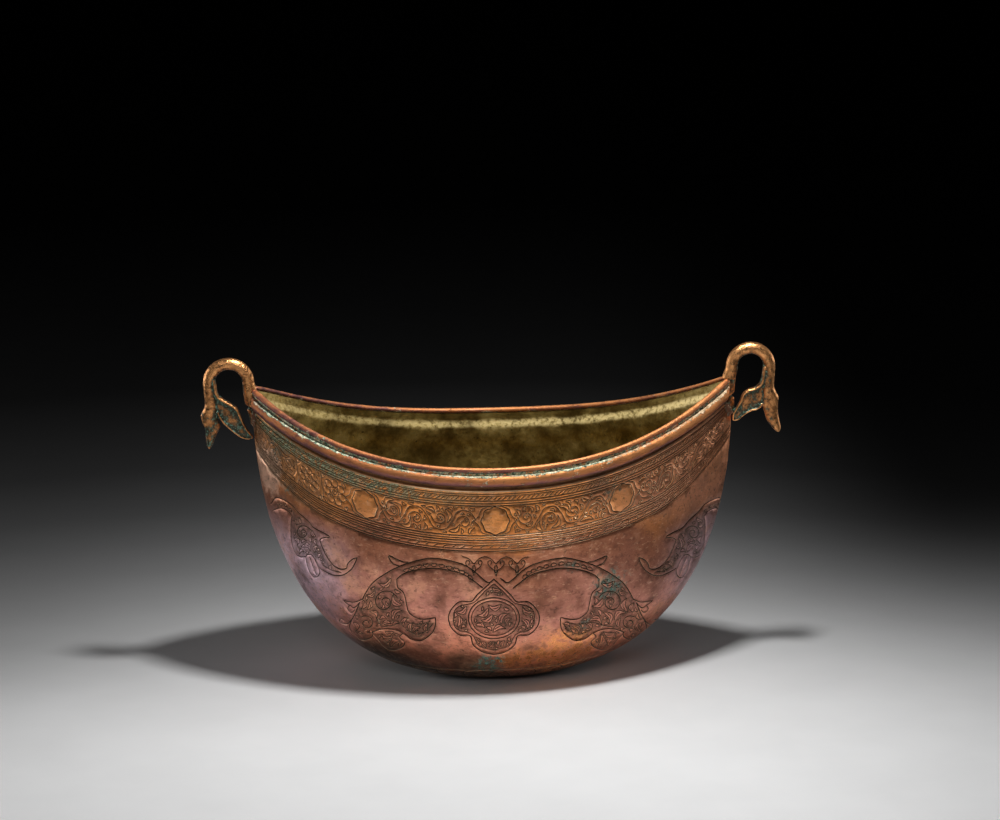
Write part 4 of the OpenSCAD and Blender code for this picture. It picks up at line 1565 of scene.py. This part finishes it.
class BOWL_OT_materials(bpy.types.Operator):
    """Makes the node groups and materials"""

    bl_idname = "bowl.materials"
    bl_label = "Make materials"

    def execute(self, context):
        tarnish_group()
        spot_group()
        for make in (engraved_material, lining_material, rim_material, hook_material):
            make(context.scene.tint_settings)
        for make in (solder_material, floor_material):
            make()
        return {"FINISHED"}


class BOWL_OT_shell(bpy.types.Operator):
    """Builds the engraved outside, the rim zone and the lining of the bowl"""

    bl_idname = "bowl.shell"
    bl_label = "Build bowl"

    def execute(self, context):
        shape, look = made_shape(context)
        self.sides(shape, draw_ornament(shape, look, context.scene.ornament_settings))
        self.rim_zone(shape)
        base = shape.body(round_angles(), np.zeros(2 * AROUND))
        under = [base * [f, f, 1] for f in (0.1, 0.35, 0.6, 0.8, 1.0)]
        self.rings("bowl_base", under, "copper_cut", 0)
        self.lining(shape)
        return {"FINISHED"}

    def sides(self, shape, engraving):
        """Engraved front, and its mirror image at the back."""
        points, tris, layers = engraved_side(shape, engraving)
        for name, way in (("bowl_front", 1), ("bowl_back", -1)):
            faces = tris if way > 0 else [tuple(reversed(f)) for f in tris]
            obj = new_object(name, points * [1, way, 1], faces, "bowl_shell")
            for layer, values in layers.items():
                paint(obj, layer, values)
            smooth(obj)
            crisp(obj, layers["cut"])
            dress(obj, "copper_cut")

    def rim_zone(self, shape):
        """Pressed channel and leaning edge, with crust over the moulding and painted shade in the channel
        under it.
        """
        zone = outside_rings(shape)
        rim = self.rings("bowl_rim", zone, "copper_cut", None)
        s = np.append(np.linspace(0, shape.rim_wall, len(zone) - 1), shape.rim_wall).repeat(2 * AROUND)
        paint(rim, "crust", ease((s - shape.mould_top + 0.6) / 0.8))
        # Painted shade: the channel under the moulding is marked as a cut, so it darkens like the bottom of a
        # line.
        paint(rim, "cut", 0.55 * ease(s / 0.7) * (s < shape.mould_top - 0.6))

    def lining(self, shape):
        """Inside of the sheet, with a painted highlight in a band under the edge."""
        rings = lining_rings(shape)
        lining = self.rings("bowl_lining", rings, "tin_lining", len(rings) - 1)
        z = np.concatenate([r[:, 2] for r in rings])
        below = np.tile(shape.shoulder_z(round_angles()), len(rings)) + shape.rim_wall - z
        # Painted highlight band under the edge.
        band = ease((below - 2.0) / 2.4) * (1 - ease((below - 5.4) / 3.4))
        paint(lining, "bright", np.clip(band, 0, 1))

    def rings(self, name, rings, material, cap):
        """Object through closed rings, with one ring filled."""
        cols = len(rings[0])
        faces = grid_faces(len(rings), cols)
        if cap is not None:
            last = [cap * cols + i for i in range(cols)]
            faces.append(tuple(last if cap else reversed(last)))
        obj = new_object(name, np.concatenate(rings), faces, "bowl_shell")
        smooth(obj)
        dress(obj, material)
        return obj


CREST = 0.36


class BOWL_OT_rim(bpy.types.Operator):
    """Builds the lip wires and the rim mouldings"""

    bl_idname = "bowl.rim"
    bl_label = "Build rim"

    def execute(self, context):
        shape, _ = made_shape(context)
        span = rim_span(shape, context.scene.hook_settings.tongue_width * 500)
        for half, back in (("front", False), ("back", True)):
            for kind, section in (("rim_moulding", moulding_section), ("lip_wire", lip_section)):
                points, faces, at = strip(shape, span, lambda a, left: section(shape, a, left), back)
                node = kind + "_" + half
                obj = new_object(node + "_worked", points, faces, node)
                if kind == "lip_wire":
                    worn = 0.55 + 0.3 * np.sin(2 * math.pi * at)
                    crust = np.clip(-0.05 - np.sin(2 * math.pi * at), 0, 1) * 0.8
                else:
                    down = np.clip(at * (ROUND_STEPS + SEAT_STEPS) / ROUND_STEPS, 0, 1)
                    worn = 0.95 - np.where(down > CREST, 1.8, 0.8) * np.abs(down - CREST)
                    crust = np.clip((0.27 - down) / 0.14, 0, 1) * 0.85
                paint(obj, "worn", worn)
                paint(obj, "crust", crust)
                smooth(obj)
                dress(obj, "copper_rim")
        return {"FINISHED"}


WEAR_ROUNDS = 14
WEAR_FROM = 0.104
WEAR_RISE = 0.04


class BOWL_OT_hooks(bpy.types.Operator):
    """Builds the two cast hooks and dresses their solder"""

    bl_idname = "bowl.hooks"
    bl_label = "Build hooks"

    def execute(self, context):
        shape, _ = made_shape(context)
        s = context.scene.hook_settings
        for side in ("left", "right"):
            hook = HookShape(shape, s, side)
            points, faces = hook.build()
            way = -1 if hook.mirror else 1
            eye = np.array([way * (hook.edge_x + hook.reach), 0, hook.top_z]) * MM
            obj = new_object("hook_" + side + "_cast", points, faces, "hook_" + side)
            smooth(obj)
            obj.data.remesh_voxel_size = s.voxel
            bpy.ops.object.voxel_remesh()
            self.soften()
            self.wear(obj, eye)
            dress(obj, "bronze_cast")
            dress(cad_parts["solder_" + side], "solder_dull")
        return {"FINISHED"}

    def soften(self):
        """Rounds the surface of the active casting a little."""
        bpy.ops.object.mode_set(mode="EDIT")
        bpy.ops.mesh.select_all(action="SELECT")
        bpy.ops.mesh.vertices_smooth(factor=0.5, repeat=3)
        bpy.ops.object.mode_set(mode="OBJECT")
        bpy.ops.object.shade_smooth()

    def wear(self, obj, eye):
        """Stores how rubbed each point is: proud of its neighbourhood and facing away from the eye."""
        mesh = obj.data
        co = np.empty(len(mesh.vertices) * 3)
        no = np.empty(len(mesh.vertices) * 3)
        mesh.vertices.foreach_get("co", co)
        mesh.vertices.foreach_get("normal", no)
        co, no = co.reshape(-1, 3), no.reshape(-1, 3)
        edges = np.empty(len(mesh.edges) * 2, int)
        mesh.edges.foreach_get("vertices", edges)
        edges = edges.reshape(-1, 2)
        mean = co.copy()
        for _ in range(WEAR_ROUNDS):
            total, count = mean.copy(), np.ones(len(mean))
            np.add.at(total, edges[:, 0], mean[edges[:, 1]])
            np.add.at(total, edges[:, 1], mean[edges[:, 0]])
            np.add.at(count, edges[:, 0], 1)
            np.add.at(count, edges[:, 1], 1)
            mean = total / count[:, None]
        proud = ((co - mean) * no).sum(1) * 1000
        rise = np.clip((co[:, 2] - WEAR_FROM) / WEAR_RISE, 0, 1)
        rubbed = 0.14 if obj.name.startswith("hook_right") else -0.14
        away = (co - eye) * [1, 0, 1]
        away /= np.maximum(np.linalg.norm(away, axis=1, keepdims=True), 1e-6)
        facing = (away * no).sum(1)
        worn = 0.28 + rubbed * (1 - rise) + proud * 2.2 + (0.44 + 0.34 * facing) * rise
        paint(obj, "worn", np.clip(worn, 0, 1))


class BOWL_OT_stage(bpy.types.Operator):
    """Sets the floor, the lights and the camera"""

    bl_idname = "bowl.stage"
    bl_label = "Set stage"

    def execute(self, context):
        s = context.scene.stage_settings
        bpy.ops.mesh.primitive_plane_add(size=12.0, location=(0, 0, 0))
        floor = context.object
        floor.name = "floor"
        dress(floor, "floor_paper")
        lights = [
            self.light("light_above", (0.066, -0.112, 0.53), (0, -0.06, 0), 0.06, 0.05, s.above),
            self.light("light_front", (-0.35, -1.5, 1.15), (0, 0, 0.06), 1.0, 0.7, s.front),
            self.light("light_left", (-1.15, 0.4, 0.22), (0, 0, 0.08), 0.8, 0.36, s.left),
            self.light("light_right", (1.15, 0.5, 0.22), (0, 0, 0.08), 0.7, 0.36, s.right)]
        world = bpy.data.worlds.new("dim_room")
        world.use_nodes = True
        world.node_tree.nodes["Background"].inputs["Color"].default_value = (0.02, 0.02, 0.022, 1)
        context.scene.world = world
        look = Look(s)
        wide = look.distance / look.pixel
        right = look.right * math.cos(s.roll) + look.up * math.sin(s.roll)
        up = look.up * math.cos(s.roll) - look.right * math.sin(s.roll)
        ahead = -look.back * wide + right * (FRAME_W / 2 - s.base_x) + up * (s.base_y - FRAME_H / 2)
        reach = np.linalg.norm(ahead)
        ahead = Vector(ahead / reach)
        side = ahead.cross(Vector(up)).normalized()
        top = side.cross(ahead)
        bpy.ops.object.camera_add(location=Vector(look.back) * s.distance)
        camera = context.object
        camera.name = "camera"
        camera.matrix_world = Matrix((
            (side.x, top.x, -ahead.x, camera.location.x), (side.y, top.y, -ahead.y, camera.location.y),
            (side.z, top.z, -ahead.z, camera.location.z), (0, 0, 0, 1)))
        camera.data.sensor_width = SENSOR
        camera.data.lens = SENSOR * reach / FRAME_W
        camera.data.clip_end = 50
        context.scene.camera = camera
        context.scene.view_settings.view_transform = "Standard"
        return {"FINISHED"}

    def light(self, name, place, aim, wide, high, power):
        """Soft box that looks at a place."""
        bpy.ops.object.light_add(type="AREA", location=place)
        lamp = bpy.context.object
        lamp.name = name
        lamp.data.shape = "RECTANGLE"
        lamp.data.size = wide
        lamp.data.size_y = high
        lamp.data.energy = power
        lamp.rotation_euler = (Vector(aim) - Vector(place)).to_track_quat("-Z", "Y").to_euler()
        return lamp


class BOWL_PT_panel(bpy.types.Panel):
    """Settings and steps of the bowl"""

    bl_idname = "BOWL_PT_panel"
    bl_label = "Hanging bowl"
    bl_space_type = "VIEW_3D"
    bl_region_type = "UI"
    bl_category = "Hanging bowl"

    def draw(self, context):
        layout = self.layout
        for group, _ in SETTINGS:
            settings = getattr(context.scene, group)
            box = layout.box()
            for key in settings.bl_rna.properties.keys():
                if key not in {"rna_type", "name"}:
                    box.prop(settings, key)
        for step in STEPS:
            layout.operator(step.bl_idname)


SETTINGS = (
    ("bowl_settings", BowlSettings), ("ornament_settings", OrnamentSettings), ("hook_settings", HookSettings),
    ("tint_settings", TintSettings), ("stage_settings", StageSettings))
STEPS = (BOWL_OT_materials, BOWL_OT_shell, BOWL_OT_rim, BOWL_OT_hooks, BOWL_OT_stage)


def register():
    for name, group in SETTINGS:
        bpy.utils.register_class(group)
        setattr(bpy.types.Scene, name, bpy.props.PointerProperty(type=group))
    for step in STEPS:
        bpy.utils.register_class(step)
    bpy.utils.register_class(BOWL_PT_panel)


def unregister():
    bpy.utils.unregister_class(BOWL_PT_panel)
    for step in reversed(STEPS):
        bpy.utils.unregister_class(step)
    for name, group in reversed(SETTINGS):
        delattr(bpy.types.Scene, name)
        bpy.utils.unregister_class(group)


def main():
    register()
    bpy.ops.bowl.materials()
    bpy.ops.bowl.shell()
    bpy.ops.bowl.rim()
    bpy.ops.bowl.hooks()
    bpy.ops.bowl.stage()


if __name__ == "__main__":
    main()
